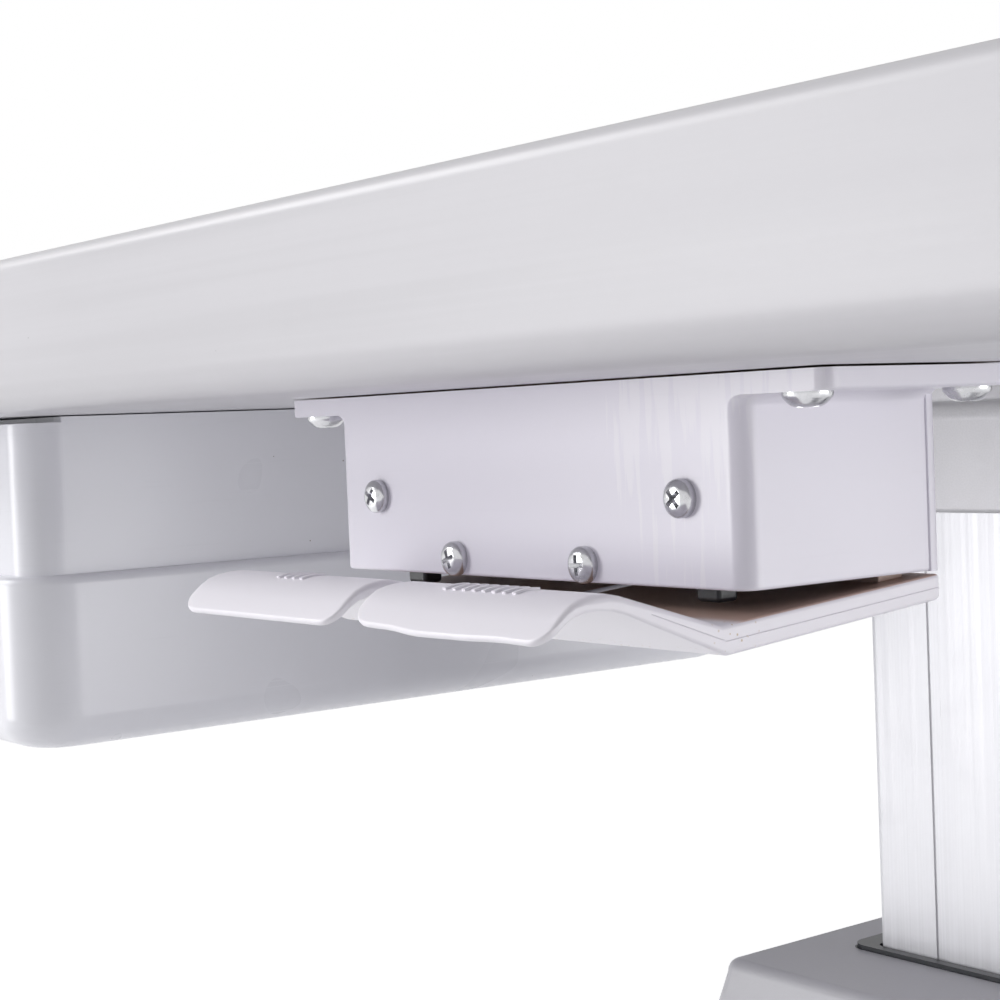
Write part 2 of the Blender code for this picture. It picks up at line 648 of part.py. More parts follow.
def make_drawer_housing(table):
    """Fixed upper tier of the drawer: a roof, two sides with rails, and a back."""
    moulded = finish("drawer_housing_plastic", (0.74, 0.74, 0.80), 0.3)
    top = UNDERSIDE - SEAT_GAP
    left, right = DRAWER_LEFT + TIER_STEP, DRAWER_RIGHT - TIER_STEP
    front, back = FACE_BACK + SEAT_GAP, DRAWER_BACK - TIER_STEP
    shell = block((left, front, HOUSING_BOTTOM), (right, back, top))
    housing = table.piece("drawer_housing", shell, moulded, table.lift, ((left + right) / 2, front, top))
    above_rails = block((left + DRAWER_WALL, front - DRAWER_WALL, RAIL_TOP),
                        (right - DRAWER_WALL, back - DRAWER_WALL, top - ROOF_THICKNESS))
    table.cut(housing, "inside", above_rails)
    rail = DRAWER_WALL + RAIL_WIDTH
    between_rails = block((left + rail, front - DRAWER_WALL, HOUSING_BOTTOM - DRAWER_WALL),
                          (right - rail, back - DRAWER_WALL, RAIL_TOP + DRAWER_WALL))
    table.cut(housing, "between_rails", between_rails)
    holes = [screw_hole(HOUSING_SCREW, seat, (0, 0, 1), -ROOF_THICKNESS, 2 * ROOF_THICKNESS)
             for seat in housing_screw_places()]
    table.cut(housing, "screw_holes", together(*holes))


def make_drawer_tub(table):
    """Sliding lower tier of the drawer: a tub whose rim runs on the rails, with a full-height face."""
    moulded = finish("drawer_tub_plastic", (0.76, 0.76, 0.82), 0.25)
    middle = (DRAWER_LEFT + DRAWER_RIGHT) / 2
    place = (middle, DRAWER_FRONT, DRAWER_BOTTOM)
    carrier = table.carrier("drawer_carrier", place, table.lift)
    lower = block((DRAWER_LEFT, DRAWER_FRONT, DRAWER_BOTTOM), (DRAWER_RIGHT, DRAWER_BACK, TUB_TOP),
                  DRAWER_CORNER, 0.0, DRAWER_EDGE)
    tub = table.piece("drawer_tub", lower, moulded, carrier, place)
    root = TUB_TOP - DRAWER_WALL / 2
    face = block((DRAWER_LEFT + TIER_STEP, FACE_FRONT, root),
                 (DRAWER_RIGHT - TIER_STEP, FACE_BACK, UNDERSIDE - DRAWER_FACE_DROP))
    front_corners = [edge for edge in upright_edges(face) if edge.verts[0].co.y < FACE_BACK - MERGE_DISTANCE]
    round_edges(face, front_corners, DRAWER_FACE_WALL - SEAT_GAP, CORNER_STEPS)
    table.join(tub, "face", face)
    neck_back = DRAWER_BACK - HOUSING_SIDE_INSET - RUN_GAP
    neck_left, neck_right = DRAWER_LEFT + NECK_INSET, DRAWER_RIGHT - NECK_INSET
    neck_front = FACE_BACK - DRAWER_WALL
    neck = block((neck_left, neck_front, root), (neck_right, neck_back, RIM_TOP - RIM_THICKNESS / 2))
    table.join(tub, "neck", neck)
    rim_inset = HOUSING_SIDE_INSET + RUN_GAP
    rim = block((DRAWER_LEFT + rim_inset, neck_front, RIM_BOTTOM),
                (DRAWER_RIGHT - rim_inset, neck_back, RIM_TOP))
    table.join(tub, "rim", rim)
    inner_front = DRAWER_FRONT + DRAWER_FRONT_WALL
    inner = block((DRAWER_LEFT + DRAWER_WALL, inner_front, DRAWER_BOTTOM + DRAWER_WALL),
                  (DRAWER_RIGHT - DRAWER_WALL, DRAWER_BACK - DRAWER_WALL, TUB_TOP - DRAWER_WALL),
                  DRAWER_CORNER - DRAWER_WALL, 0.0, DRAWER_EDGE - DRAWER_WALL)
    table.cut(tub, "inside", inner)
    mouth = block((neck_left + DRAWER_WALL, inner_front, TUB_TOP - 2 * DRAWER_WALL),
                  (neck_right - DRAWER_WALL, neck_back - DRAWER_WALL, RIM_TOP + DRAWER_WALL))
    table.cut(tub, "mouth", mouth)
    pull = block((middle - PULL_WIDTH / 2, DRAWER_FRONT - PULL_DEPTH, DRAWER_BOTTOM - PULL_HEIGHT),
                 (middle + PULL_WIDTH / 2, DRAWER_FRONT + PULL_DEPTH, DRAWER_BOTTOM + PULL_HEIGHT),
                 PULL_CORNER)
    table.cut(tub, "finger_pull", pull)


def make_column(table):
    """Aluminium lifting column with long grooves, its head under the tabletop and its lower bush."""
    aluminium = finish("column_aluminium", (0.80, 0.80, 0.83), 0.35, 1.0)
    cast = finish("head_aluminium", (0.55, 0.55, 0.56), 0.45, 1.0)
    nylon = finish("bush_nylon", (0.10, 0.10, 0.10), 0.5)
    half_x, half_y = COLUMN_WIDTH / 2, COLUMN_DEPTH / 2
    profile = block((-half_x, -half_y, COLUMN_BOTTOM), (half_x, half_y, COLUMN_TOP), COLUMN_CORNER)
    column = table.piece("inner_column", profile, aluminium, table.lift, (0, 0, COLUMN_TOP))
    bore_x, bore_y = half_x - COLUMN_WALL, half_y - COLUMN_WALL
    over = COLUMN_WALL
    shapes = [block((-bore_x, -bore_y, COLUMN_BOTTOM - over), (bore_x, bore_y, COLUMN_TOP + over))]
    for side in (-1, 1):
        for face in (-1, 1):
            centre = side * (half_x - GROOVE_INSET)
            near, far = sorted((face * (half_y - GROOVE_DEPTH), face * (half_y + GROOVE_DEPTH)))
            shapes.append(block((centre - GROOVE_WIDTH / 2, near, COLUMN_BOTTOM - over),
                                (centre + GROOVE_WIDTH / 2, far, COLUMN_TOP + over)))
    table.cut(column, "bore_and_grooves", together(*shapes))
    make_bush(table, "lower_guide_bush", nylon, table.lift, COLUMN_BOTTOM, SEAT_GAP, RUN_GAP)
    make_bush(table, "upper_guide_bush", nylon, table.base, TUBE_TOP - BUSH_LENGTH, RUN_GAP, SEAT_GAP)
    pocket_x, pocket_y = half_x + SEAT_GAP, half_y + SEAT_GAP
    skirt_x, skirt_y = pocket_x + HEAD_WALL, pocket_y + HEAD_WALL
    skirt = block((-skirt_x, -skirt_y, HEAD_BOTTOM), (skirt_x, skirt_y, HEAD_TOP - FLANGE_THICKNESS / 2),
                  HEAD_WALL)
    head = table.piece("column_head", skirt, cast, table.lift, (0, 0, HEAD_TOP))
    flange = block((-FLANGE_LENGTH / 2, -FLANGE_DEPTH / 2, HEAD_TOP - FLANGE_THICKNESS),
                   (FLANGE_LENGTH / 2, FLANGE_DEPTH / 2, HEAD_TOP), FLANGE_SCREW_INSET)
    table.join(head, "flange", flange)
    pocket = block((-pocket_x, -pocket_y, HEAD_BOTTOM - HEAD_WALL), (pocket_x, pocket_y, POCKET_TOP))
    holes = [screw_hole(FLANGE_SCREW, seat, (0, 0, 1), -FLANGE_THICKNESS, 2 * FLANGE_THICKNESS)
             for seat in flange_screw_places()]
    table.cut(head, "pocket_and_holes", together(pocket, *holes))


def make_bush(table, name, material, parent, bottom, inner_gap, outer_gap):
    """Guide bush between the column and the tube."""
    inner_x, inner_y = COLUMN_WIDTH / 2 + inner_gap, COLUMN_DEPTH / 2 + inner_gap
    outer_x, outer_y = TUBE_INNER_WIDTH / 2 - outer_gap, TUBE_INNER_DEPTH / 2 - outer_gap
    ring = block((-outer_x, -outer_y, bottom), (outer_x, outer_y, bottom + BUSH_LENGTH))
    bush = table.piece(name, ring, material, parent, (0, 0, bottom))
    hole = block((-inner_x, -inner_y, bottom - BUSH_WALL),
                 (inner_x, inner_y, bottom + BUSH_LENGTH + BUSH_WALL))
    table.cut(bush, "column_hole", hole)


def make_outer_tube(table):
    """Fixed steel tube on its base plate, inside the pedestal cover."""
    steel = finish("tube_steel", (0.45, 0.46, 0.48), 0.4, 1.0)
    half_x, half_y = TUBE_WIDTH / 2, TUBE_DEPTH / 2
    plate = block((-half_x - PLATE_MARGIN, -half_y - PLATE_MARGIN, PLATE_BOTTOM),
                  (half_x + PLATE_MARGIN, half_y + PLATE_MARGIN, PLATE_TOP))
    table.piece("column_base_plate", plate, steel, table.base, (0, 0, PLATE_BOTTOM))
    walls = block((-half_x, -half_y, TUBE_BOTTOM), (half_x, half_y, TUBE_TOP))
    tube = table.piece("outer_tube", walls, steel, table.base, (0, 0, TUBE_BOTTOM))
    bore_x, bore_y = TUBE_INNER_WIDTH / 2, TUBE_INNER_DEPTH / 2
    bore = block((-bore_x, -bore_y, TUBE_BOTTOM - TUBE_WALL), (bore_x, bore_y, TUBE_TOP + TUBE_WALL))
    table.cut(tube, "bore", bore)


def make_actuator(table):
    """Linear actuator: gearbox, motor and spindle tube on the base plate, and the rod that lifts the head."""
    black = finish("gearbox_plastic", (0.04, 0.04, 0.04), 0.5)
    steel = finish("actuator_steel", (0.55, 0.55, 0.57), 0.35, 1.0)
    bottom = PLATE_TOP + SEAT_GAP
    top = bottom + GEARBOX_HEIGHT
    half_x, half_y = GEARBOX_LENGTH / 2, GEARBOX_DEPTH / 2
    gearbox = block((-half_x, -half_y, bottom), (half_x, half_y, top))
    table.piece("actuator_gearbox", gearbox, black, table.base, (0, 0, bottom))
    motor_place = (-MOTOR_SIDE_STEP, 0, top + SEAT_GAP)
    motor = rod(MOTOR_RADIUS, motor_place, (0, 0, 1), 0.0, MOTOR_LENGTH)
    table.piece("actuator_motor", motor, steel, table.base, motor_place)
    spindle_place = (SPINDLE_SIDE_STEP, 0, top + SEAT_GAP)
    wall = [(SPINDLE_TUBE_RADIUS, SPINDLE_TUBE_LENGTH), (SPINDLE_TUBE_RADIUS, 0.0), (SPINDLE_TUBE_BORE, 0.0),
            (SPINDLE_TUBE_BORE, SPINDLE_TUBE_LENGTH)]
    table.piece("actuator_tube", turned(wall, spindle_place), steel, table.base, spindle_place)
    rod_top = POCKET_TOP - SEAT_GAP
    rod_bottom = spindle_place[2] + SPINDLE_TUBE_LENGTH - ROD_HIDDEN
    rod_place = (SPINDLE_SIDE_STEP, 0, rod_bottom)
    push_rod = rod(ROD_RADIUS, rod_place, (0, 0, 1), 0.0, rod_top - rod_bottom)
    table.piece("push_rod", push_rod, steel, table.lift, rod_place)


def make_pedestal_cover(table):
    """Moulded cover round the tube, wider at its foot, with a slot at the top for the column."""
    moulded = finish("cover_plastic", (0.62, 0.61, 0.64), 0.35)
    half_x = TUBE_WIDTH / 2 + COVER_SIDE_SPACE + COVER_WALL
    half_y = TUBE_DEPTH / 2 + COVER_FRONT_SPACE + COVER_WALL
    shell = block((-half_x, -half_y, PLATE_BOTTOM), (half_x, half_y, COVER_TOP),
                  COVER_CORNER, COVER_EDGE, 0.0, (COVER_SIDE_FLARE, COVER_FRONT_FLARE))
    floor = [face for face in shell.faces if all(v.co.z < PLATE_BOTTOM + MERGE_DISTANCE for v in face.verts)]
    bmesh.ops.delete(shell, geom=floor, context="FACES_ONLY")
    cover = table.piece("pedestal_cover", shell, moulded, table.base, (0, 0, PLATE_BOTTOM))
    wall = cover.modifiers.new("wall", "SOLIDIFY")
    wall.thickness = COVER_WALL
    wall.offset = -1.0
    wall.use_even_offset = True
    slot_x, slot_y = COLUMN_WIDTH / 2 + SLOT_SIDE_SPACE, COLUMN_DEPTH / 2 + SLOT_FRONT_SPACE
    slot = block((-slot_x, -slot_y, COVER_TOP - 2 * COVER_WALL), (slot_x, slot_y, COVER_TOP + COVER_WALL),
                 COLUMN_CORNER)
    table.cut(cover, "column_slot", slot)
    board = finish("control_unit_plastic", (0.06, 0.06, 0.07), 0.5)
    back = TUBE_DEPTH / 2 + SEAT_GAP
    low = (-CONTROL_WIDTH / 2, back, PLATE_TOP + CONTROL_FOOT)
    high = (CONTROL_WIDTH / 2, back + CONTROL_DEPTH, PLATE_TOP + CONTROL_FOOT + CONTROL_HEIGHT)
    table.piece("control_unit", block(low, high), board, table.base, low)


def make_base(table):
    """Two feet and the hollow beam between them, with the mains inlet in the beam's back."""
    painted = finish("base_paint", (0.70, 0.70, 0.73), 0.4)
    black = finish("inlet_plastic", (0.03, 0.03, 0.03), 0.45)
    for side, label in ((-1, "left"), (1, "right")):
        centre = side * FOOT_SPREAD / 2
        low = (centre - FOOT_WIDTH / 2, -FOOT_LENGTH / 2, FOOT_BOTTOM)
        high = (centre + FOOT_WIDTH / 2, FOOT_LENGTH / 2, FOOT_TOP)
        foot = table.piece(f"{label}_foot", block(low, high, FOOT_CORNER, FOOT_EDGE), painted, table.base,
                           (centre, 0, FOOT_BOTTOM))
        sockets = [rod(STEM_RADIUS + HOLE_GAP, (centre, way * CASTOR_SPREAD / 2, FOOT_BOTTOM), (0, 0, 1),
                       -STEM_RADIUS, STEM_LENGTH - FORK_TOP_GAP + SEAT_GAP) for way in (-1, 1)]
        table.cut(foot, "castor_sockets", together(*sockets))
    half_x = FOOT_INNER - SEAT_GAP
    half_y = BEAM_DEPTH / 2
    folded = block((-half_x, -half_y, FOOT_BOTTOM), (half_x, half_y, FOOT_TOP), 0.0, BEAM_EDGE)
    beam = table.piece("cross_beam", folded, painted, table.base, (0, 0, FOOT_BOTTOM))
    hollow = block((-half_x + BEAM_WALL, -half_y + BEAM_WALL, FOOT_BOTTOM - BEAM_WALL),
                   (half_x - BEAM_WALL, half_y - BEAM_WALL, FOOT_TOP - BEAM_WALL))
    table.cut(beam, "hollow", hollow)
    middle = FOOT_BOTTOM + (FOOT_HEIGHT - BEAM_EDGE) / 2
    body_x, body_z = INLET_BODY_WIDTH / 2, INLET_BODY_HEIGHT / 2
    opening = block((-body_x - HOLE_GAP, half_y - 2 * BEAM_WALL, middle - body_z - HOLE_GAP),
                    (body_x + HOLE_GAP, half_y + BEAM_WALL, middle + body_z + HOLE_GAP))
    table.cut(beam, "inlet_opening", opening)
    seat = half_y + SEAT_GAP
    flange = block((-INLET_FLANGE_WIDTH / 2, seat, middle - INLET_FLANGE_HEIGHT / 2),
                   (INLET_FLANGE_WIDTH / 2, seat + INLET_FLANGE_THICKNESS, middle + INLET_FLANGE_HEIGHT / 2))
    inlet = table.piece("power_inlet", flange, black, table.base, (0, seat, middle))
    table.join(inlet, "body", block((-body_x, seat - INLET_BODY_DEPTH, middle - body_z),
                                    (body_x, seat + INLET_FLANGE_THICKNESS / 2, middle + body_z)))
    socket_x, socket_z = body_x - INLET_SOCKET_WALL, body_z - INLET_SOCKET_WALL
    mouth = seat + INLET_FLANGE_THICKNESS
    table.cut(inlet, "socket", block((-socket_x, mouth - INLET_SOCKET_DEPTH, middle - socket_z),
                                     (socket_x, mouth + INLET_FLANGE_THICKNESS, middle + socket_z)))


def fork_cheek(axle_y, stem_y, way, low, high):
    """Side plate of a castor fork: wide at the crown, round about the axle."""
    start, end = (180, 360) if way > 0 else (360, 180)
    tip = arc((axle_y, WHEEL_RADIUS), FORK_AXLE_RADIUS, start, end, 2 * ARC_STEPS)
    outline = tip + [(axle_y + way * FORK_AXLE_RADIUS, FORK_TOP), (stem_y - way * FORK_CROWN_REACH, FORK_TOP)]
    return prism_across(outline, low, high)


def make_castor(table, label, side, way, with_brake):
    """One swivel castor: fork with its stem, wheel on an axle, and on the front ones a foot brake."""
    steel = finish(f"{label}_fork_steel", (0.60, 0.61, 0.63), 0.3, 1.0)
    rubber = finish(f"{label}_wheel_rubber", (0.22, 0.22, 0.23), 0.6)
    x = side * FOOT_SPREAD / 2
    stem_y = way * CASTOR_SPREAD / 2
    axle_y = stem_y + way * CASTOR_TRAIL
    swivel = table.carrier(f"{label}_swivel_carrier", (x, stem_y, FORK_TOP), table.base)
    near, far = sorted((stem_y - way * FORK_CROWN_REACH, stem_y + way * STEM_RADIUS))
    crown_half = FORK_INNER + FORK_WALL / 2
    crown = block((x - crown_half, near, CROWN_BOTTOM), (x + crown_half, far, FORK_TOP))
    fork = table.piece(f"{label}_castor_fork", crown, steel, swivel, (x, stem_y, FORK_TOP))
    cheeks = together(fork_cheek(axle_y, stem_y, way, x - FORK_OUTER, x - FORK_INNER),
                      fork_cheek(axle_y, stem_y, way, x + FORK_INNER, x + FORK_OUTER))
    table.join(fork, "cheeks", cheeks)
    stem = rod(STEM_RADIUS, (x, stem_y, FORK_TOP), (0, 0, 1), -FORK_CROWN_HEIGHT / 2, STEM_LENGTH)
    table.join(fork, "stem", stem)
    axle_place = (x, axle_y, WHEEL_RADIUS)
    hole_half = FORK_OUTER + FORK_WALL
    holes = [rod(AXLE_RADIUS + HOLE_GAP, axle_place, (1, 0, 0), -hole_half, hole_half)]
    wheel_half = WHEEL_WIDTH / 2
    bore = AXLE_RADIUS + RUN_GAP
    profile = [
        (bore, wheel_half),
        (WHEEL_HUB_RADIUS, wheel_half),
        (WHEEL_HUB_RADIUS, wheel_half - WHEEL_DISH),
        (WHEEL_RIM_RADIUS, wheel_half - WHEEL_DISH),
        (WHEEL_RIM_RADIUS, wheel_half),
        (WHEEL_RADIUS - WHEEL_EDGE, wheel_half),
        (WHEEL_RADIUS, wheel_half - WHEEL_EDGE),
    ]
    profile += [(radius, -height) for radius, height in reversed(profile)]
    wheel = turned(profile, axle_place, (1, 0, 0), WHEEL_STEPS)
    table.piece(f"{label}_castor_wheel", wheel, rubber, swivel, axle_place)
    head = FORK_OUTER + SEAT_GAP
    head_end = head + AXLE_HEAD_HEIGHT
    shank = [(0.0, head_end), (AXLE_HEAD_RADIUS, head_end), (AXLE_HEAD_RADIUS, head), (AXLE_RADIUS, head)]
    shank += [(radius, -height) for radius, height in reversed(shank)]
    table.piece(f"{label}_castor_axle", turned(shank, axle_place, (1, 0, 0)), steel, swivel, axle_place)
    if with_brake:
        pivot = (x, axle_y - way * BRAKE_PIVOT_AHEAD, FORK_TOP - BRAKE_PIVOT_DROP)
        holes.append(rod(BRAKE_PIVOT_RADIUS + HOLE_GAP, pivot, (1, 0, 0), -hole_half, hole_half))
        make_brake(table, label, swivel, pivot, way)
    table.cut(fork, "pivot_holes", together(*holes))


def make_brake(table, label, swivel, pivot, way):
    """Foot lever over the wheel, on trunnions in the fork's cheeks, with a shoe that meets the tyre."""
    nylon = finish(f"{label}_brake_nylon", (0.25, 0.26, 0.28), 0.45)
    x, pivot_y, pivot_z = pivot
    half = FORK_INNER - BRAKE_SIDE_GAP
    near, far = sorted((pivot_y - way * BRAKE_PIVOT_RADIUS, pivot_y + way * BRAKE_REACH))
    bottom, top = pivot_z - BRAKE_THICKNESS / 2, pivot_z + BRAKE_THICKNESS / 2
    pedal = block((x - half, near, bottom), (x + half, far, top))
    lever = table.piece(f"{label}_castor_brake", pedal, nylon, swivel, pivot)
    reach = FORK_INNER + BRAKE_PIVOT_LENGTH
    table.join(lever, "trunnions", rod(BRAKE_PIVOT_RADIUS, pivot, (1, 0, 0), -reach, reach))
    shoe_place = (x, pivot_y + way * BRAKE_SHOE_OUT, bottom)
    shoe_half = WHEEL_WIDTH / 2 - WHEEL_EDGE
    table.join(lever, "shoe", rod(BRAKE_SHOE_RADIUS, shoe_place, (1, 0, 0), -shoe_half, shoe_half))


def main():
    """Build the table from its castors up."""
    remove_old_objects()
    table = Table()
    make_base(table)
    for way, end in ((-1, "front"), (1, "rear")):
        for side, hand in ((-1, "left"), (1, "right")):
            make_castor(table, f"{end}_{hand}", side, way, way < 0)
    make_outer_tube(table)
    make_actuator(table)
    make_pedestal_cover(table)
    make_column(table)
    make_tabletop(table)
    make_drawer_housing(table)
    make_drawer_tub(table)
    make_switch_box(table)
    make_switches(table)
    make_paddles(table)
    make_screws(table)


main()
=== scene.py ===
"""Looks of the ophthalmic instrument table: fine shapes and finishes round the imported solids.

Metres, +Z up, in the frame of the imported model. The operator stands at -Y.
"""

import logging
import math
from collections.abc import Sequence
from dataclasses import dataclass
from enum import Enum
from functools import cached_property

import bmesh
import bpy
import numpy as np
from bmesh.types import BMesh, BMFace
from bpy.types import Material, Node, NodeSocket, Object
from mathutils import Matrix, Vector


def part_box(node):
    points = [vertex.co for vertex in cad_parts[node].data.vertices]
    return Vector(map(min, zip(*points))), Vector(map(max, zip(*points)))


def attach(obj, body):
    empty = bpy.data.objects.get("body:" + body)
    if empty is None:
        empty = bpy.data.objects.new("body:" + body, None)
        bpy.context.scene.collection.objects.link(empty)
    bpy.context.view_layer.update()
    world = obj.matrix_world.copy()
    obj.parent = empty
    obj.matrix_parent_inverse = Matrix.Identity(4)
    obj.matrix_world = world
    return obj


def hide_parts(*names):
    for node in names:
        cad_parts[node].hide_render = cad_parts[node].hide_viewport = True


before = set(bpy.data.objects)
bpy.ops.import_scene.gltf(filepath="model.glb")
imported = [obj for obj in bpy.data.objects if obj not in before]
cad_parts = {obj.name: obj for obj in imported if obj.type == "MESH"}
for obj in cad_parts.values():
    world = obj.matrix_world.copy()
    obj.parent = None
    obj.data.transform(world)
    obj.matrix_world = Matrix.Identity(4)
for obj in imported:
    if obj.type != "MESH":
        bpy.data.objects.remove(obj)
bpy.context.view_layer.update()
LOG = logging.getLogger("instrument_table")

CURVE_STEP = math.radians(12)
EDGE_STEPS = 4
ROUND_STEPS = 48
SHARP_ANGLE = math.radians(32)
MERGE_DISTANCE = 0.000002
CUT_OVER = 0.01
FACING = 0.99
FIRST_SCREW_TURN = 20
SCREW_TURN_STEP = 37
SPECK_CORE = 0.6
WIDE_RANGE = (0.3, 0.7)
NARROW_RANGE = (0.35, 0.65)

Colour = tuple[float, float, float]
Corner = tuple[float, float, float]
Amounts = float | Sequence[float]


class Body(Enum):
    """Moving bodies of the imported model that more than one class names."""

    BASE = "base"
    LIFT = "lift"
    DRAWER = "drawer"


class Slot(Enum):
    """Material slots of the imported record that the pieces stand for."""

    TOP = "top_laminate"
    BOX = "box_plastic"
    PADDLE = "paddle_plastic"
    DRAWER = "drawer_plastic"
    COVER = "cover_plastic"
    BLACK = "black_plastic"
    BRAKE = "brake_plastic"
    ZINC = "zinc_steel"
    CAST = "cast_aluminium"
    COLUMN = "column_aluminium"
    PAINT = "base_paint"
    RUBBER = "wheel_rubber"


class Axis(Enum):
    """Axis that an outline is pushed along, by the two axes that the outline lies in."""

    X = (1, 2)
    Y = (0, 2)
    Z = (0, 1)


class Fusion(Enum):
    """Ways to make one solid from two."""

    JOIN = "UNION"
    CUT = "DIFFERENCE"


# Outlines and solids


def outline(corners: Sequence[Corner]) -> list[Vector]:
    """Closed outline whose corners are rounded.

    Args:
        corners: place and radius of each corner, in order.

    Returns:
        Points of the outline, with an arc of them at each round corner.
    """
    points = []
    for index, (x, y, radius) in enumerate(corners):
        corner = Vector((x, y))
        if radius <= 0:
            points.append(corner)
            continue
        before = (Vector(corners[index - 1][:2]) - corner).normalized()
        after = (Vector(corners[(index + 1) % len(corners)][:2]) - corner).normalized()
        half = before.angle(after) / 2
        centre = corner + (before + after).normalized() * radius / math.sin(half)
        first = corner + before * radius / math.tan(half) - centre
        last = corner + after * radius / math.tan(half) - centre
        turn = last.angle_signed(first)
        steps = max(2, math.ceil(abs(turn) / CURVE_STEP))
        points += [centre + Matrix.Rotation(turn * step / steps, 2) @ first for step in range(steps + 1)]
    return points


def rectangle(low: Sequence[float], high: Sequence[float], radius: float) -> list[Vector]:
    """Outline of a rectangle with round corners.

    Args:
        low: lowest corner.
        high: highest corner.
        radius: radius of all four corners.

    Returns:
        Points of the outline.
    """
    return outline([(low[0], low[1], radius), (high[0], low[1], radius),
                    (high[0], high[1], radius), (low[0], high[1], radius)])


def inset(points: Sequence[Vector], amounts: Amounts) -> list[Vector]:
    """Move an outline inwards.

    Args:
        points: points of the closed outline.
        amounts: how far, for all points or for each.

    Returns:
        Points of the smaller outline.
    """
    following = [*points[1:], points[0]]
    way = math.copysign(1.0, sum(a.x * b.y - b.x * a.y for a, b in zip(points, following)))
    moved = []
    for index, (point, amount) in enumerate(zip(points, np.broadcast_to(amounts, len(points)))):
        before = (point - points[index - 1]).normalized()
        after = (following[index] - point).normalized()
        first = Vector((-before.y, before.x)) * way
        second = Vector((-after.y, after.x)) * way
        moved.append(point + (first + second) * float(amount) / (1 + first.dot(second)))
    return moved


def stand(points: Sequence[Vector], axis: Axis, places: Amounts) -> list[Vector]:
    """Put an outline in space.

    Args:
        points: points of the outline.
        axis: axis that it stands square to.
        places: place along that axis, for all points or for each.

    Returns:
        The points in space.
    """
    first, second = axis.value
    stood = []
    for point, place in zip(points, np.broadcast_to(places, len(points))):
        spot = Vector((float(place), float(place), float(place)))
        spot[first], spot[second] = point
        stood.append(spot)
    return stood


def loft(rings: Sequence[Sequence[Vector]], ring_closed: bool = False) -> BMesh:
    """Skin over a row of closed rings.

    Args:
        rings: points of each ring, as many in one as in the next.
        ring_closed: whether the last ring meets the first, instead of both ends being capped.

    Returns:
        The closed solid.
    """
    bm = bmesh.new()
    verts = [bm.verts.new(point) for point in rings[0]]
    edges = first = [bm.edges.new(pair) for pair in zip(verts, verts[1:] + verts[:1])]
    for ring in [*rings[1:], *rings[:ring_closed]]:
        made = set(bmesh.ops.extrude_edge_only(bm, edges=edges)["geom"])
        verts = [next(edge.other_vert(vert) for edge in vert.link_edges if edge.other_vert(vert) in made)
                 for vert in verts]
        for vert, point in zip(verts, ring):
            vert.co = point
        edges = [bm.edges.get(pair) for pair in zip(verts, verts[1:] + verts[:1])]
    if ring_closed:
        bmesh.ops.remove_doubles(bm, verts=bm.verts, dist=MERGE_DISTANCE)
    else:
        for cap in (first, edges):
            bmesh.ops.contextual_create(bm, geom=cap)
    bmesh.ops.recalc_face_normals(bm, faces=bm.faces)
    return bm


def centred_ring(half_x: float, half_y: float, radius: float, z: float) -> list[Vector]:
    """Level ring of a rounded rectangle round the Z axis.

    Args:
        half_x: half its length.
        half_y: half its depth.
        radius: radius of its corners.
        z: its height.

    Returns:
        Points of the ring.
    """
    return stand(rectangle((-half_x, -half_y), (half_x, half_y), radius), Axis.Z, z)


def quarter(radius: Amounts, steps: int = EDGE_STEPS) -> list[tuple[Amounts, Amounts]]:
    """Stations over a round edge, from the end face to the side.

    Args:
        radius: radius of the edge, for all points or for each.
        steps: how many spans it has.

    Returns:
        How far each station lies in from the side, and how far from the end face.
    """
    angles = [math.pi / 2 * step / steps for step in range(steps + 1)]
    return [(radius * (1 - math.sin(angle)), radius * (1 - math.cos(angle))) for angle in angles]


def rounded_prism(points: Sequence[Vector], axis: Axis, ends: tuple[float, float],
                  radii: tuple[Amounts, Amounts]) -> BMesh:
    """Push an outline along an axis and round the edges of both ends.

    Args:
        points: points of the outline.
        axis: axis to push along.
        ends: places of the two end faces.
        radii: radius of the edge round each end, for all points or for each.

    Returns:
        The closed solid.
    """
    rings = []
    for end, radius, way in zip(ends, radii, (1, -1)):
        radius = np.asarray(radius, float)
        stations = quarter(radius) if np.any(radius) else [(radius, radius)]
        half = [stand(inset(points, into), axis, end + way * back) for into, back in stations]
        rings += half[::way]
    return loft(rings)


def block(low: Sequence[float], high: Sequence[float], corner: float = 0.0,
          rims: tuple[float, float] = (0.0, 0.0)) -> BMesh:
    """Upright block with round corners and round rims.

    Args:
        low: lowest corner.
        high: highest corner.
        corner: radius of the upright edges.
        rims: radius of the lower and of the upper rim.

    Returns:
        The closed solid.
    """
    return rounded_prism(rectangle(low, high, corner), Axis.Z, (low[2], high[2]), rims)


def turned(profile: Sequence[Sequence[float]], centre: Sequence[float], axis: Sequence[float],
           steps: int = ROUND_STEPS) -> BMesh:
    """Turn a solid on a lathe.

    Args:
        profile: (radius, height) points, from one end of the axis to the other or round a ring.
        centre: point on the axis that heights start from.
        axis: direction of the axis.
        steps: faces round the axis.

    Returns:
        The closed solid.
    """
    bm = bmesh.new()
    verts = [bm.verts.new((radius, 0.0, height)) for radius, height in profile]
    pairs = list(zip(verts, verts[1:]))
    if profile[0][0] > 0:
        pairs.append((verts[-1], verts[0]))
    edges = [bm.edges.new(pair) for pair in pairs]
    bmesh.ops.spin(bm, geom=verts + edges, cent=(0, 0, 0), axis=(0, 0, 1), dvec=(0, 0, 0),
                   angle=2 * math.pi, steps=steps, use_merge=True)
    bmesh.ops.remove_doubles(bm, verts=bm.verts, dist=MERGE_DISTANCE)
    bmesh.ops.recalc_face_normals(bm, faces=bm.faces)
    turn = Vector((0, 0, 1)).rotation_difference(Vector(axis)).to_matrix().to_4x4()
    bmesh.ops.transform(bm, matrix=Matrix.Translation(centre) @ turn, verts=bm.verts)
    return bm


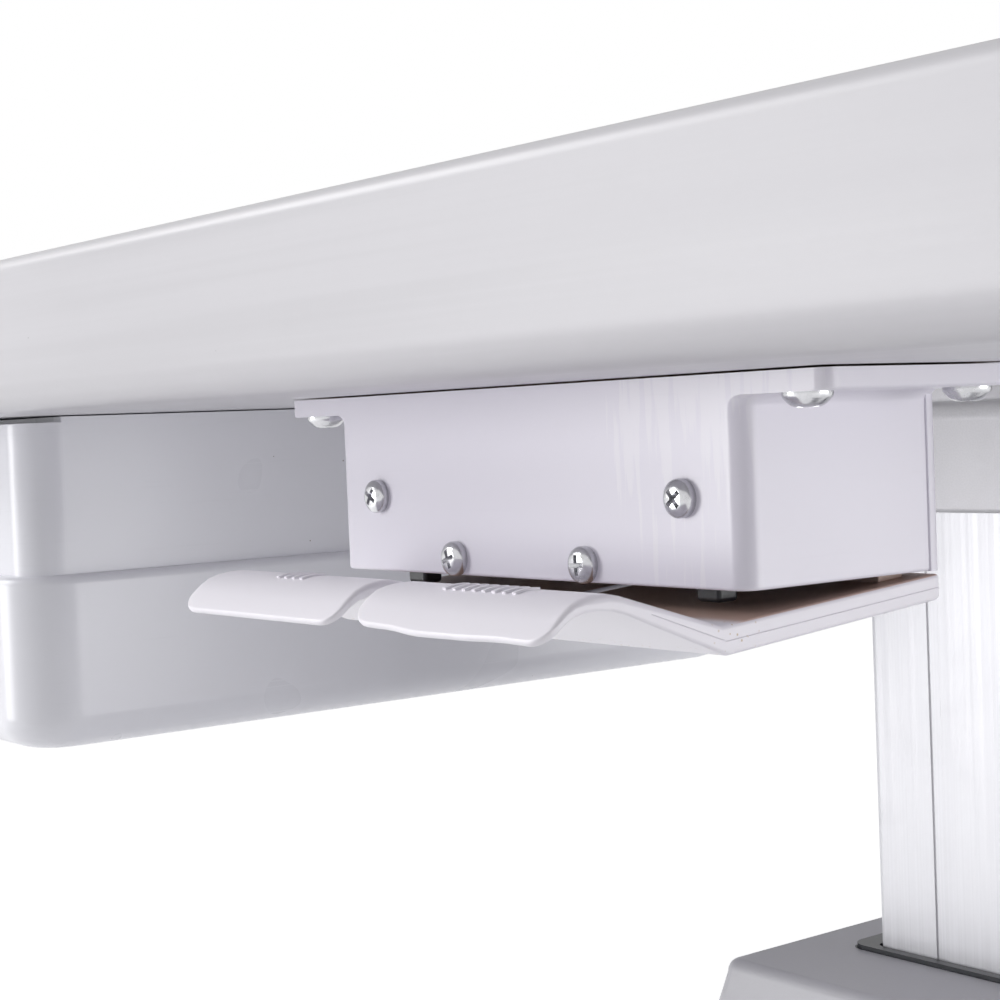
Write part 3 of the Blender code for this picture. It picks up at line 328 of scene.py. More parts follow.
def gathered(shapes: Sequence[BMesh]) -> BMesh:
    """Put several solids in one mesh.

    Args:
        shapes: the solids, which are used up.

    Returns:
        The mesh of all of them.
    """
    mesh = bpy.data.meshes.new("gathered")
    bm = bmesh.new()
    for shape in shapes:
        shape.to_mesh(mesh)
        shape.free()
        bm.from_mesh(mesh)
    bpy.data.meshes.remove(mesh)
    return bm


def fused(base: BMesh, tool: BMesh, fusion: Fusion) -> BMesh:
    """Make one solid from two.

    Args:
        base: solid that is changed, and used up.
        tool: solid that changes it, and is used up.
        fusion: how they are put together.

    Returns:
        The resulting solid.
    """
    helpers = []
    for shape in (base, tool):
        mesh = bpy.data.meshes.new("helper")
        shape.to_mesh(mesh)
        shape.free()
        helpers.append(bpy.data.objects.new("helper", mesh))
        bpy.context.scene.collection.objects.link(helpers[-1])
    modifier = helpers[0].modifiers.new("fusion", "BOOLEAN")
    modifier.operation = fusion.value
    modifier.object = helpers[1]
    modifier.solver = "EXACT"
    result = bmesh.new()
    result.from_object(helpers[0], bpy.context.evaluated_depsgraph_get())
    for helper in helpers:
        mesh = helper.data
        bpy.data.objects.remove(helper)
        bpy.data.meshes.remove(mesh)
    bmesh.ops.remove_doubles(result, verts=result.verts, dist=MERGE_DISTANCE)
    bmesh.ops.dissolve_degenerate(result, edges=result.edges, dist=MERGE_DISTANCE)
    return result


def flat_faces(bm: BMesh, normal: Sequence[float], low: float, high: float) -> list[BMFace]:
    """Faces that look one way and whose middles lie between two places along it.

    Args:
        bm: mesh to look through.
        normal: the way they look.
        low: lowest place along the normal.
        high: highest place along the normal.

    Returns:
        The faces found.
    """
    way = Vector(normal)
    return [face for face in bm.faces
            if face.normal.dot(way) > FACING and low < face.calc_center_median().dot(way) < high]


# Finishes


class Recipe:
    """Node tree of one material, with short ways to add what the finishes share."""

    def __init__(self, name: str) -> None:
        """Start a material with its shader and its object coordinates."""
        self.material = bpy.data.materials.new(name)
        self.material.use_nodes = True
        self.tree = self.material.node_tree
        self.shader = self.tree.nodes["Principled BSDF"]
        self.place = self.tree.nodes.new("ShaderNodeTexCoord").outputs["Object"]

    def add(self, kind: str, sockets: dict, **settings: object) -> Node:
        """Add a node.

        Args:
            kind: the node's type.
            sockets: what goes into its inputs, by their names or numbers.
            **settings: the node's own settings.

        Returns:
            The node.
        """
        node = self.tree.nodes.new(kind)
        for key, value in settings.items():
            setattr(node, key, value)
        for key, value in sockets.items():
            self.feed(node.inputs[key], value)
        return node

    def feed(self, socket: NodeSocket, value: object) -> None:
        """Link an output to a socket, or set the socket's own value."""
        if isinstance(value, NodeSocket):
            self.tree.links.new(value, socket)
        else:
            socket.default_value = value

    def set(self, **inputs: object) -> None:
        """Feed the shader's inputs, named in lower case with underscores."""
        for key, value in inputs.items():
            self.feed(self.shader.inputs[key.replace("_", " ").title()], value)

    def stretched(self, stretch: Sequence[float]) -> NodeSocket:
        """Object coordinates stretched along the axes."""
        return self.add("ShaderNodeMapping", {"Vector": self.place, "Scale": stretch}).outputs[0]

    def noise(self, scale: float, detail: float = 3.0, stretch: Sequence[float] = (1, 1, 1)) -> NodeSocket:
        """Soft noise, with its features a scale-th of a metre across."""
        return self.add("ShaderNodeTexNoise", {"Vector": self.stretched(stretch), "Scale": scale,
                                               "Detail": detail}).outputs["Fac"]

    def ramp(self, value: NodeSocket, low: float, high: float, start: float = 0.0,
             end: float = 1.0) -> NodeSocket:
        """Smooth step of a value from low to high, given out from start to end."""
        limits = {"From Min": low, "From Max": high, "To Min": start, "To Max": end}
        return self.add("ShaderNodeMapRange", {"Value": value, **limits},
                        interpolation_type="SMOOTHSTEP").outputs[0]

    def blend(self, factor: NodeSocket, first: object, second: object) -> NodeSocket:
        """Mix of two colours."""
        pair = [(*colour, 1.0) if isinstance(colour, tuple) else colour for colour in (first, second)]
        return self.add("ShaderNodeMix", {0: factor, 6: pair[0], 7: pair[1]}, data_type="RGBA").outputs[2]

    def math(self, operation: str, first: object, second: object) -> NodeSocket:
        """Sum, product or other figure of two values."""
        return self.add("ShaderNodeMath", {0: first, 1: second}, operation=operation).outputs[0]

    def weighed(self, first: NodeSocket, second: NodeSocket, shares: tuple[float, float]) -> NodeSocket:
        """Sum of two values, each times its share."""
        parts = [self.math("MULTIPLY", value, share) for value, share in zip((first, second), shares)]
        return self.math("ADD", *parts)

    def along(self, axis: str) -> NodeSocket:
        """Object coordinate along one axis."""
        return self.add("ShaderNodeSeparateXYZ", {0: self.place}).outputs[axis]

    def specks(self, scale: float, radius: float, share: float = 1.0) -> NodeSocket:
        """Small dots strewn over the surface, 1 inside each.

        Args:
            scale: cells to a metre, with room for one dot in each.
            radius: radius of a dot.
            share: tone under which a cell's own random tone lets it have its dot.

        Returns:
            The dots.
        """
        cells = self.add("ShaderNodeTexVoronoi", {"Vector": self.place, "Scale": scale})
        dots = self.ramp(cells.outputs["Distance"], SPECK_CORE * radius * scale, radius * scale, 1.0, 0.0)
        return self.math("MULTIPLY", dots, self.math("LESS_THAN", cells.outputs["Color"], share))

    def bump(self, height: NodeSocket, depth: float, under: NodeSocket | None = None) -> NodeSocket:
        """Relief of a height, in metres deep, on top of another relief."""
        sockets = {"Height": height, "Distance": depth, "Strength": 1.0}
        if under:
            sockets["Normal"] = under
        return self.add("ShaderNodeBump", sockets).outputs[0]


def shade(colour: Colour, factor: float) -> Colour:
    """A lighter or darker tone of a colour."""
    return tuple(min(1.0, channel * factor) for channel in colour)


@dataclass(frozen=True)
class Finish:
    """A surface with a colour, a gloss and a few marks of use."""

    name: str
    colour: Colour
    roughness: float
    metallic: float = 0.0

    def material(self) -> Material:
        """The finish as a material, made once."""
        found = bpy.data.materials.get(self.name)
        if found:
            return found
        recipe = Recipe(self.name)
        recipe.set(metallic=self.metallic)
        self.dress(recipe)
        return recipe.material

    def dress(self, recipe: Recipe) -> None:
        """Fill in the nodes of the finish."""
        raise NotImplementedError

    def two_tone(self, recipe: Recipe, value: NodeSocket, limits: tuple[float, float],
                 tones: tuple[float, float]) -> NodeSocket:
        """The finish's colour in two tones.

        Args:
            recipe: the material's nodes.
            value: value that goes from one tone to the other.
            limits: where it starts and ends to do so.
            tones: how dark the first is, and how light the second.

        Returns:
            The colour.
        """
        dark, light = (shade(self.colour, tone) for tone in tones)
        return recipe.blend(recipe.ramp(value, *limits), dark, light)

    def gloss(self, recipe: Recipe, value: NodeSocket, limits: tuple[float, float],
              spread: tuple[float, float]) -> NodeSocket:
        """The finish's roughness, a little less or more by a value.

        Args:
            recipe: the material's nodes.
            value: value that goes from smooth to rough.
            limits: where it starts and ends to do so.
            spread: how far the roughness goes under and over the finish's own.

        Returns:
            The roughness.
        """
        return recipe.ramp(value, *limits, self.roughness - spread[0], self.roughness + spread[1])


@dataclass(frozen=True)
class Plastic(Finish):
    """Moulded plastic: cloudy tone, orange-peel relief, scuffs and specks of dirt."""

    grain: float = 900.0
    relief: float = 0.000001
    cloud_scale: float = 12.0
    clouding: float = 0.012
    scuff_scale: float = 1300.0
    scuff_axis: tuple[float, float, float] = (0.03, 0.03, 1.0)
    scuff_range: tuple[float, float] = (0.64, 0.74)
    scuffing: float = 0.5
    scuff_cover: float = 0.35
    scuff_shade: float = 0.8
    scuff_gloss: float = 0.18
    scuff_depth: float = -0.000002
    gloss_scale: float = 40.0
    gloss_range: tuple[float, float] = (0.2, 0.8)
    gloss_spread: tuple[float, float] = (0.01, 0.01)
    speck_scale: float = 190.0
    speck_radius: float = 0.0002
    speck_share: float = 0.22
    speck_colour: Colour = (0.20, 0.15, 0.12)

    def tone(self, recipe: Recipe) -> NodeSocket:
        """Colour before the specks."""
        clouds = recipe.noise(self.cloud_scale, 1.0)
        return self.two_tone(recipe, clouds, WIDE_RANGE, (1 - self.clouding, 1 + self.clouding))

    def dress(self, recipe: Recipe) -> None:
        """Lay the specks over the tone, and the scuffs into the gloss."""
        colour = self.tone(recipe)
        marks = recipe.ramp(recipe.noise(self.scuff_scale, 2.0, self.scuff_axis), *self.scuff_range)
        worn = recipe.math("MULTIPLY", marks, self.scuff_cover * self.scuffing)
        colour = recipe.blend(worn, colour, shade(self.colour, self.scuff_shade))
        dirt = recipe.specks(self.speck_scale, self.speck_radius, self.speck_share)
        recipe.set(base_color=recipe.blend(dirt, colour, self.speck_colour))
        gloss = self.gloss(recipe, recipe.noise(self.gloss_scale, 1.0), self.gloss_range, self.gloss_spread)
        rubbed = recipe.math("MULTIPLY", marks, self.scuff_gloss * self.scuffing)
        recipe.set(roughness=recipe.math("ADD", gloss, rubbed))
        peel = recipe.bump(recipe.noise(self.grain, 2.0), self.relief)
        recipe.set(normal=recipe.bump(marks, self.scuff_depth * self.scuffing, peel))


@dataclass(frozen=True)
class PolishedPlastic(Plastic):
    """Plastic of the switch box, with a rubbed patch by one front corner whose sheen is painted in as a
    lighter tone.
    """

    # Painted sheen: the rubbed patch near one front corner is a lighter tone in upright strokes.
    sheen_patch_front: tuple[float, float] = (-0.1785, -0.1805)
    sheen_patch_from: tuple[float, float] = (0.016, 0.030)
    sheen_patch_up: tuple[float, float] = (0.668, 0.690)
    sheen_patch_colour: Colour = (0.86, 0.84, 0.89)
    sheen_patch_pull: tuple[float, float] = (0.34, 0.16)
    patch_range: tuple[float, float] = (0.90, 0.98)
    sheen_patch_cover: float = 0.6
    stroke_scale: float = 600.0
    stroke_draw: tuple[float, float, float] = (1.0, 1.0, 0.07)

    def tone(self, recipe: Recipe) -> NodeSocket:
        """Cloudy tone, lighter in upright strokes where the rubbed patch's sheen is painted in."""
        strokes = recipe.noise(self.stroke_scale, 4.0, self.stroke_draw)
        right = recipe.ramp(recipe.along("X"), *self.sheen_patch_from)
        upper = recipe.ramp(recipe.along("Z"), *self.sheen_patch_up)
        place = recipe.weighed(right, upper, self.sheen_patch_pull)
        # Painted sheen, lighter in tone, where the strokes and the place both reach.
        patch = recipe.ramp(recipe.math("ADD", strokes, place), *self.patch_range)
        patch = recipe.math("MULTIPLY", patch, recipe.ramp(recipe.along("Y"), *self.sheen_patch_front))
        rubbed = recipe.math("MULTIPLY", patch, self.sheen_patch_cover)
        return recipe.blend(rubbed, super().tone(recipe), self.sheen_patch_colour)


@dataclass(frozen=True)
class DustyPlastic(Plastic):
    """Plastic of the paddles, with tan dust left in their valley, and painted brown shade on the arm under
    the box.
    """

    dust_line: float = -0.184
    dust_reach: float = 0.007
    dust_scale: float = 900.0
    dust_radius: float = 0.00022
    dust_colour: Colour = (0.62, 0.50, 0.38)
    # Painted shade: the arm's top under the box is coloured brown for the dim, warm shade in the gap there.
    brown_shade_from: tuple[float, float] = (-0.1850, -0.1815)
    brown_shade_depth: tuple[float, float] = (-0.0006, -0.0004)
    brown_shade_cover: float = 0.9
    brown_shade_colour: Colour = (0.60, 0.40, 0.32)
    arm_rear: tuple[float, float] = (-0.1403, 0.6601)
    arm_slope: float = 0.0799

    def tone(self, recipe: Recipe) -> NodeSocket:
        """Cloudy tone under the dust, and painted brown shade on the arm's top under the box."""
        along, up = recipe.along("Y"), recipe.along("Z")
        run = recipe.math("SUBTRACT", along, self.arm_rear[0])
        top = recipe.math("ADD", recipe.math("MULTIPLY", run, self.arm_slope), self.arm_rear[1])
        # Painted brown shade on the arm's top, from the box's front back.
        above = recipe.ramp(recipe.math("SUBTRACT", up, top), *self.brown_shade_depth)
        brown_shade = recipe.math("MULTIPLY", above, recipe.ramp(along, *self.brown_shade_from))
        cover = recipe.math("MULTIPLY", brown_shade, self.brown_shade_cover)
        colour = recipe.blend(cover, super().tone(recipe), self.brown_shade_colour)
        away = recipe.math("ABSOLUTE", recipe.math("SUBTRACT", along, self.dust_line), 0.0)
        near = recipe.ramp(away, self.dust_reach, 0.0)
        grains = recipe.math("MULTIPLY", recipe.specks(self.dust_scale, self.dust_radius), near)
        return recipe.blend(grains, colour, self.dust_colour)


@dataclass(frozen=True)
class Laminate(Finish):
    """Satin film over board: faint streaks along the edge and a few rubs."""

    streaking: float = 0.025
    fine_scale: float = 420.0
    fine_draw: tuple[float, float, float] = (0.012, 1.0, 1.0)
    fine_relief: float = 0.000012
    broad_scale: float = 14.0
    broad_draw: tuple[float, float, float] = (0.35, 1.0, 1.0)
    shares: tuple[float, float] = (0.6, 0.4)
    speck_scale: float = 120.0
    speck_radius: float = 0.00016
    speck_shade: float = 0.45
    gloss_spread: tuple[float, float] = (0.06, 0.06)
    grain: float = 1600.0
    relief: float = 0.000006

    def dress(self, recipe: Recipe) -> None:
        """Draw the streaks out along X, in tone, gloss and relief."""
        fine = recipe.noise(self.fine_scale, 4.0, self.fine_draw)
        broad = recipe.noise(self.broad_scale, 3.0, self.broad_draw)
        streaks = recipe.weighed(fine, broad, self.shares)
        tone = self.two_tone(recipe, streaks, NARROW_RANGE, (1 - self.streaking, 1 + self.streaking))
        dirt = recipe.specks(self.speck_scale, self.speck_radius)
        recipe.set(base_color=recipe.blend(dirt, tone, shade(self.colour, self.speck_shade)))
        recipe.set(roughness=self.gloss(recipe, streaks, WIDE_RANGE, self.gloss_spread))
        lines = recipe.bump(fine, self.fine_relief)
        recipe.set(normal=recipe.bump(recipe.noise(self.grain, 2.0), self.relief, lines))


@dataclass(frozen=True)
class Fibreboard(Finish):
    """Bare pressed board: matted fibres in two browns."""

    fibre_scale: float = 900.0
    fibre_draw: tuple[float, float, float] = (0.5, 1.0, 1.0)
    cloud_scale: float = 30.0
    shares: tuple[float, float] = (0.6, 0.4)
    tones: tuple[float, float] = (0.75, 1.25)
    gloss_spread: tuple[float, float] = (0.08, 0.08)
    relief: float = 0.00006

    def dress(self, recipe: Recipe) -> None:
        """Mix fine fibres and broad clouds."""
        fibres = recipe.noise(self.fibre_scale, 6.0, self.fibre_draw)
        clouds = recipe.noise(self.cloud_scale, 3.0)
        mixed = recipe.weighed(fibres, clouds, self.shares)
        recipe.set(base_color=self.two_tone(recipe, mixed, NARROW_RANGE, self.tones))
        recipe.set(roughness=self.gloss(recipe, fibres, WIDE_RANGE, self.gloss_spread))
        recipe.set(normal=recipe.bump(fibres, self.relief))


@dataclass(frozen=True)
class Metal(Finish):
    """Plated, drawn or cast metal: lines or grain in its gloss, and dull spots."""

    grain: float = 500.0
    draw: tuple[float, float, float] = (1.0, 1.0, 1.0)
    relief: float = 0.000006
    tones: tuple[float, float] = (0.94, 1.04)
    patch_scale: float = 90.0
    patch_range: tuple[float, float] = (0.45, 0.75)
    dulling: float = 0.25
    dull_shade: float = 0.75
    dull_gloss: float = 0.3
    gloss_spread: tuple[float, float] = (0.05, 0.06)

    def dress(self, recipe: Recipe) -> None:
        """Run the grain along the draw, and dull the metal in patches."""
        lines = recipe.noise(self.grain, 4.0, self.draw)
        patches = recipe.ramp(recipe.noise(self.patch_scale, 4.0), *self.patch_range)
        tone = self.two_tone(recipe, lines, WIDE_RANGE, self.tones)
        dull = recipe.math("MULTIPLY", patches, self.dulling)
        recipe.set(base_color=recipe.blend(dull, tone, shade(self.colour, self.dull_shade)))
        gloss = self.gloss(recipe, lines, WIDE_RANGE, self.gloss_spread)
        rough = recipe.math("MULTIPLY", patches, self.dull_gloss * self.dulling)
        recipe.set(roughness=recipe.math("ADD", gloss, rough))
        recipe.set(normal=recipe.bump(lines, self.relief))


LAMINATE = Laminate("film_on_tabletop", (0.595, 0.585, 0.615), 0.38)
BOARD = Fibreboard("bare_fibreboard", (0.30, 0.19, 0.13), 0.8)
BOX_PLASTIC = PolishedPlastic("switch_box_moulding", (0.79, 0.765, 0.845), 0.29, clouding=0.008,
                              scuffing=0.15)
PADDLE_PLASTIC = DustyPlastic("paddle_moulding", (0.88, 0.855, 0.915), 0.38, relief=0.0000006, clouding=0.006,
                              scuff_axis=(1.0, 0.03, 0.03), scuffing=0.1)
DRAWER_PLASTIC = Plastic("drawer_moulding", (0.83, 0.83, 0.88), 0.28, relief=0.0000006, clouding=0.008,
                         scuffing=0.2)
COVER_PLASTIC = Plastic("pedestal_moulding", (0.49, 0.485, 0.515), 0.44, grain=1400.0, relief=0.00003)
BLACK_PLASTIC = Plastic("black_moulding", (0.022, 0.024, 0.03), 0.36, grain=1500.0, relief=0.00002,
                        speck_colour=(0.22, 0.2, 0.18))
BRAKE_PLASTIC = Plastic("brake_moulding", (0.10, 0.105, 0.115), 0.45, grain=1500.0, relief=0.00003)
HUB_PLASTIC = Plastic("wheel_hub_moulding", (0.46, 0.46, 0.48), 0.38, grain=1500.0, relief=0.00002)
RUBBER = Plastic("wheel_tread_rubber", (0.10, 0.10, 0.105), 0.62, grain=1100.0, relief=0.00004,
                 speck_colour=(0.35, 0.33, 0.30), speck_scale=260.0)
ZINC = Metal("bright_zinc_screws", (0.62, 0.62, 0.64), 0.19, 1.0, grain=1500.0)
PLATED = Metal("plated_castor_steel", (0.72, 0.73, 0.75), 0.26, 1.0, grain=700.0)
STEEL = Metal("bare_column_steel", (0.50, 0.51, 0.53), 0.38, 1.0, draw=(1.0, 1.0, 0.03))
CAST = Metal("column_head_casting", (0.47, 0.465, 0.485), 0.46, 0.35, grain=2500.0, relief=0.000001,
             dulling=0.04)
ANODISED = Metal("satin_anodised_column", (0.73, 0.73, 0.76), 0.39, 0.2, grain=1300.0,
                 draw=(1.0, 1.0, 0.0005), relief=0.000002, dulling=0.06)
PAINT = Plastic("base_powder_coat", (0.64, 0.64, 0.67), 0.50, grain=1600.0, relief=0.00004)


# Pieces


def piece(name: str, shape: BMesh, finishes: Sequence[Finish], body: str,
          nodes: Sequence[str]) -> Object:
    """Add a finished piece to the scene.

    Args:
        name: the piece's name.
        shape: its mesh, which is used up.
        finishes: its finishes, in the order of its faces' numbers.
        body: body that it moves with.
        nodes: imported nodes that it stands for.

    Returns:
        The piece's object.
    """
    mesh = bpy.data.meshes.new(name)
    shape.to_mesh(mesh)
    shape.free()
    mesh.shade_smooth()
    mesh.set_sharp_from_angle(angle=SHARP_ANGLE)
    for finish in finishes:
        mesh.materials.append(finish.material())
    obj = bpy.data.objects.new(name, mesh)
    bpy.context.scene.collection.objects.link(obj)
    weighting = obj.modifiers.new("flat_faces_lead", "WEIGHTED_NORMAL")
    weighting.keep_sharp = True
    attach(obj, body)
    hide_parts(*nodes)
    LOG.info("%s on %s: %d faces, for %s", name, body, len(mesh.polygons), ", ".join(nodes))
    return obj


def refinish(nodes: Sequence[str], finish: Finish) -> None:
    """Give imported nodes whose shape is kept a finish."""
    for node in nodes:
        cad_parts[node].data.materials[0] = finish.material()
        LOG.info("%s keeps its shape, in %s", node, finish.name)


@dataclass(frozen=True)
class PanHeadScrew:
    """Pan-head screw with a cross recess; the shares are of its head's radius or height."""

    radius: float
    height: float
    shank: float
    length: float
    recess_span: float
    recess_width: float
    recess_depth: float
    straight: float = 0.6
    shoulder_reach: float = 0.62
    shoulder_rise: float = 0.96
    shoulder_bend: float = 0.6
    rim_bend: float = 0.30
    mouth_levels: tuple[tuple[float, float], ...] = ((1.05, 1.02), (1.0, 0.9))
    tip_size: float = 0.45

    def shape(self, seat: Sequence[float], axis: Sequence[float], turn: float) -> BMesh:
        """Model the screw with its head on a seat.

        Args:
            seat: middle of the head's underside.
            axis: the way that the head points.
            turn: angle of the recess.

        Returns:
            The screw's solid.
        """
        radius, height = self.radius, self.height
        crown = outline([
            (0.0, height, 0.0),
            (self.shoulder_reach * radius, self.shoulder_rise * height, self.shoulder_bend * radius),
            (radius, self.straight * height, self.rim_bend * radius),
            (radius, 0.0, 0.0),
            (self.shank, 0.0, 0.0),
            (self.shank, -self.length, 0.0),
            (0.0, -self.length, 0.0),
        ])
        screw = turned(crown, (0, 0, 0), (0, 0, 1), ROUND_STEPS)
        screw = fused(screw, self.recess(turn), Fusion.CUT)
        upright = Vector((0, 0, 1)).rotation_difference(Vector(axis)).to_matrix().to_4x4()
        bmesh.ops.transform(screw, matrix=Matrix.Translation(seat) @ upright, verts=screw.verts)
        return screw

    def recess(self, turn: float) -> BMesh:
        """Tapered cross that cuts the recess.

        Args:
            turn: its angle about the screw.

        Returns:
            The cutter's solid.
        """
        arm, half = self.recess_span / 2, self.recess_width / 2
        limb = [(arm, -half), (arm, half), (half, half)]
        cross = [Matrix.Rotation(turn + math.pi / 2 * side, 2) @ Vector(point)
                 for side in range(4) for point in limb]
        levels = [(size, share * self.height) for size, share in self.mouth_levels]
        levels.append((self.tip_size, self.height - self.recess_depth))
        return loft([stand([point * size for point in cross], Axis.Z, level) for size, level in levels])


SWITCH_SCREW = PanHeadScrew(radius=0.0029, height=0.0021, shank=0.0015, length=0.002, recess_span=0.0031,
                            recess_width=0.00075, recess_depth=0.0014)
EAR_SCREW = PanHeadScrew(radius=0.0036, height=0.0022, shank=0.0020, length=0.0025, recess_span=0.0038,
                         recess_width=0.0009, recess_depth=0.0014, straight=0.3)
HOUSING_SCREW = PanHeadScrew(radius=0.0040, height=0.0026, shank=0.0020, length=0.002, recess_span=0.0042,
                             recess_width=0.0010, recess_depth=0.0017)
FLANGE_SCREW = PanHeadScrew(radius=0.0055, height=0.0036, shank=0.0030, length=0.004, recess_span=0.0058,
                            recess_width=0.0013, recess_depth=0.0023)


def screw_group(label: str, screw: PanHeadScrew, axis: Sequence[float], count: int = 4) -> None:
    """Add the screws of one kind as one piece.

    Args:
        label: start of their nodes' names.
        screw: their shape.
        axis: the way that their heads point.
        count: how many there are.
    """
    way = Vector(axis)
    shapes = []
    nodes = [f"{label}_{number}" for number in range(1, count + 1)]
    for number, node in enumerate(nodes):
        low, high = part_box(node)
        middle = (low + high) / 2
        top = max(low.dot(way), high.dot(way))
        seat = middle + way * (top - screw.height - middle.dot(way))
        shapes.append(screw.shape(seat, axis, math.radians(FIRST_SCREW_TURN + SCREW_TURN_STEP * number)))
    piece(f"{label}s", gathered(shapes), [ZINC], Body.LIFT.value, nodes)


@dataclass
class Tabletop:
    """Board wrapped in film, bare where the switch box is screwed on."""

    corner: float = 0.045
    upper_edge: float = 0.003
    lower_edge: float = 0.006
    bare_margin: float = 0.0002
    film_thickness: float = 0.00012

    def build(self) -> None:
        """Model the board and take the film off under the switch box."""
        low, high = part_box("tabletop")
        slab = block(low, high, self.corner, (self.lower_edge, self.upper_edge))
        box_low, box_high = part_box("switch_box")
        margin, level = self.bare_margin, low.z + self.film_thickness
        patch = block((box_low.x - margin, box_low.y - margin, low.z - self.lower_edge),
                      (box_high.x + margin, box_high.y + margin, level), SwitchBox.ear_corner)
        slab = fused(slab, patch, Fusion.CUT)
        for face in flat_faces(slab, (0, 0, -1), -level - MERGE_DISTANCE, -level + MERGE_DISTANCE):
            face.material_index = 1
        piece("tabletop_board", slab, [LAMINATE, BOARD], Body.LIFT.value, ["tabletop"])


@dataclass
class SwitchBox:
    """White box under the front edge, with flush ears, its screws, switches and plungers."""

    wall: float = 0.0025
    ear_width: float = 0.016
    ear_thickness: float = 0.0031
    ear_corner: float = 0.0024
    corner: float = 0.0032
    rear_corner: float = 0.0015
    inner_corner: float = 0.0004
    fillet: float = 0.0017
    fillet_share: float = 0.75
    edge: float = 0.0005
    rim_reach: float = 0.0003
    rim_width: float = 0.0024
    rim_edge: float = 0.0002
    rim_proud: float = 0.00004
    rim_root: float = 0.8
    plunger_edge: float = 0.0007
    plunger_rim: float = 0.0002

    def build(self) -> None:
        """Model and dress the box and what is on it."""
        low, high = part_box("switch_box")
        piece("switch_box_shell", self.shell(low, high), [BOX_PLASTIC], Body.LIFT.value,
              ["switch_box"])
        screw_group("switch_screw", SWITCH_SCREW, (0, -1, 0))
        screw_group("ear_screw", EAR_SCREW, (0, 0, -1))
        for label in ("up", "down"):
            self.plunger(label)
        refinish(["up_switch", "down_switch"], BLACK_PLASTIC)
        refinish(["paddle_pin"], STEEL)

    def shell(self, low: Vector, high: Vector) -> BMesh:
        """Box and ears in one skin: up outside, out over the ears, and down again inside.

        Args:
            low: lowest corner of the ears and the box.
            high: highest corner.

        Returns:
            The moulding's solid.
        """
        side = high.x - self.ear_width
        ear = high.z - self.ear_thickness
        rings = []

        def add(half: float, into: float, front: float, rear: float, z: float) -> None:
            """Ring of the moulding at a height, by the radii of its front and rear corners."""
            near, far = low.y + into, high.y - into
            rings.append(stand(outline([(-half, near, front), (half, near, front), (half, far, rear),
                                        (-half, far, rear)]), Axis.Z, z))

        for into, up in quarter(self.edge):
            add(side - into, into, self.corner - into, self.rear_corner - into, low.z + up)
        for down, out in quarter(self.fillet):
            add(side + out, 0.0, self.corner - self.fillet_share * out, self.rear_corner, ear - down)
        for into, up in quarter(self.edge):
            add(high.x - into, 0.0, self.ear_corner, self.ear_corner, ear + up)
        add(high.x, 0.0, self.ear_corner, self.ear_corner, high.z)
        for z in (high.z, low.z):
            add(side - self.wall, self.wall, self.corner - self.wall, self.inner_corner, z)
        rims = [self.rear_rim(hand, side, high.y, (low.z, ear + self.edge)) for hand in (-1, 1)]
        return gathered([loft(rings, True), *rims])

    def rear_rim(self, hand: int, side: float, back: float, ends: tuple[float, float]) -> BMesh:
        """Raised rim along the back edge of a side.

        Args:
            hand: -1 for the left side, 1 for the right.
            side: distance of the side from the middle.
            back: place of the box's back.
            ends: its lower and upper end.

        Returns:
            The rim's solid.
        """
        front, reach = back - self.rim_width, side + self.rim_reach
        root = side - self.rim_root * self.wall
        back += self.rim_proud
        plan = outline([(hand * root, front, 0.0), (hand * reach, front, self.rim_edge),
                        (hand * reach, back, self.rear_corner), (hand * root, back, 0.0)])
        return rounded_prism(plan, Axis.Z, (ends[0] - self.rim_proud, ends[1]), (0.0, 0.0))

    def plunger(self, label: str) -> None:
        """Black plunger with bevelled edges.

        Args:
            label: which of the two it is.
        """
        low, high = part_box(f"{label}_plunger")
        stem = block(low, high, self.plunger_edge, (self.plunger_edge, self.plunger_rim))
        piece(f"{label}_plunger_stem", stem, [BLACK_PLASTIC], f"{label}_button",
              [f"{label}_plunger"])


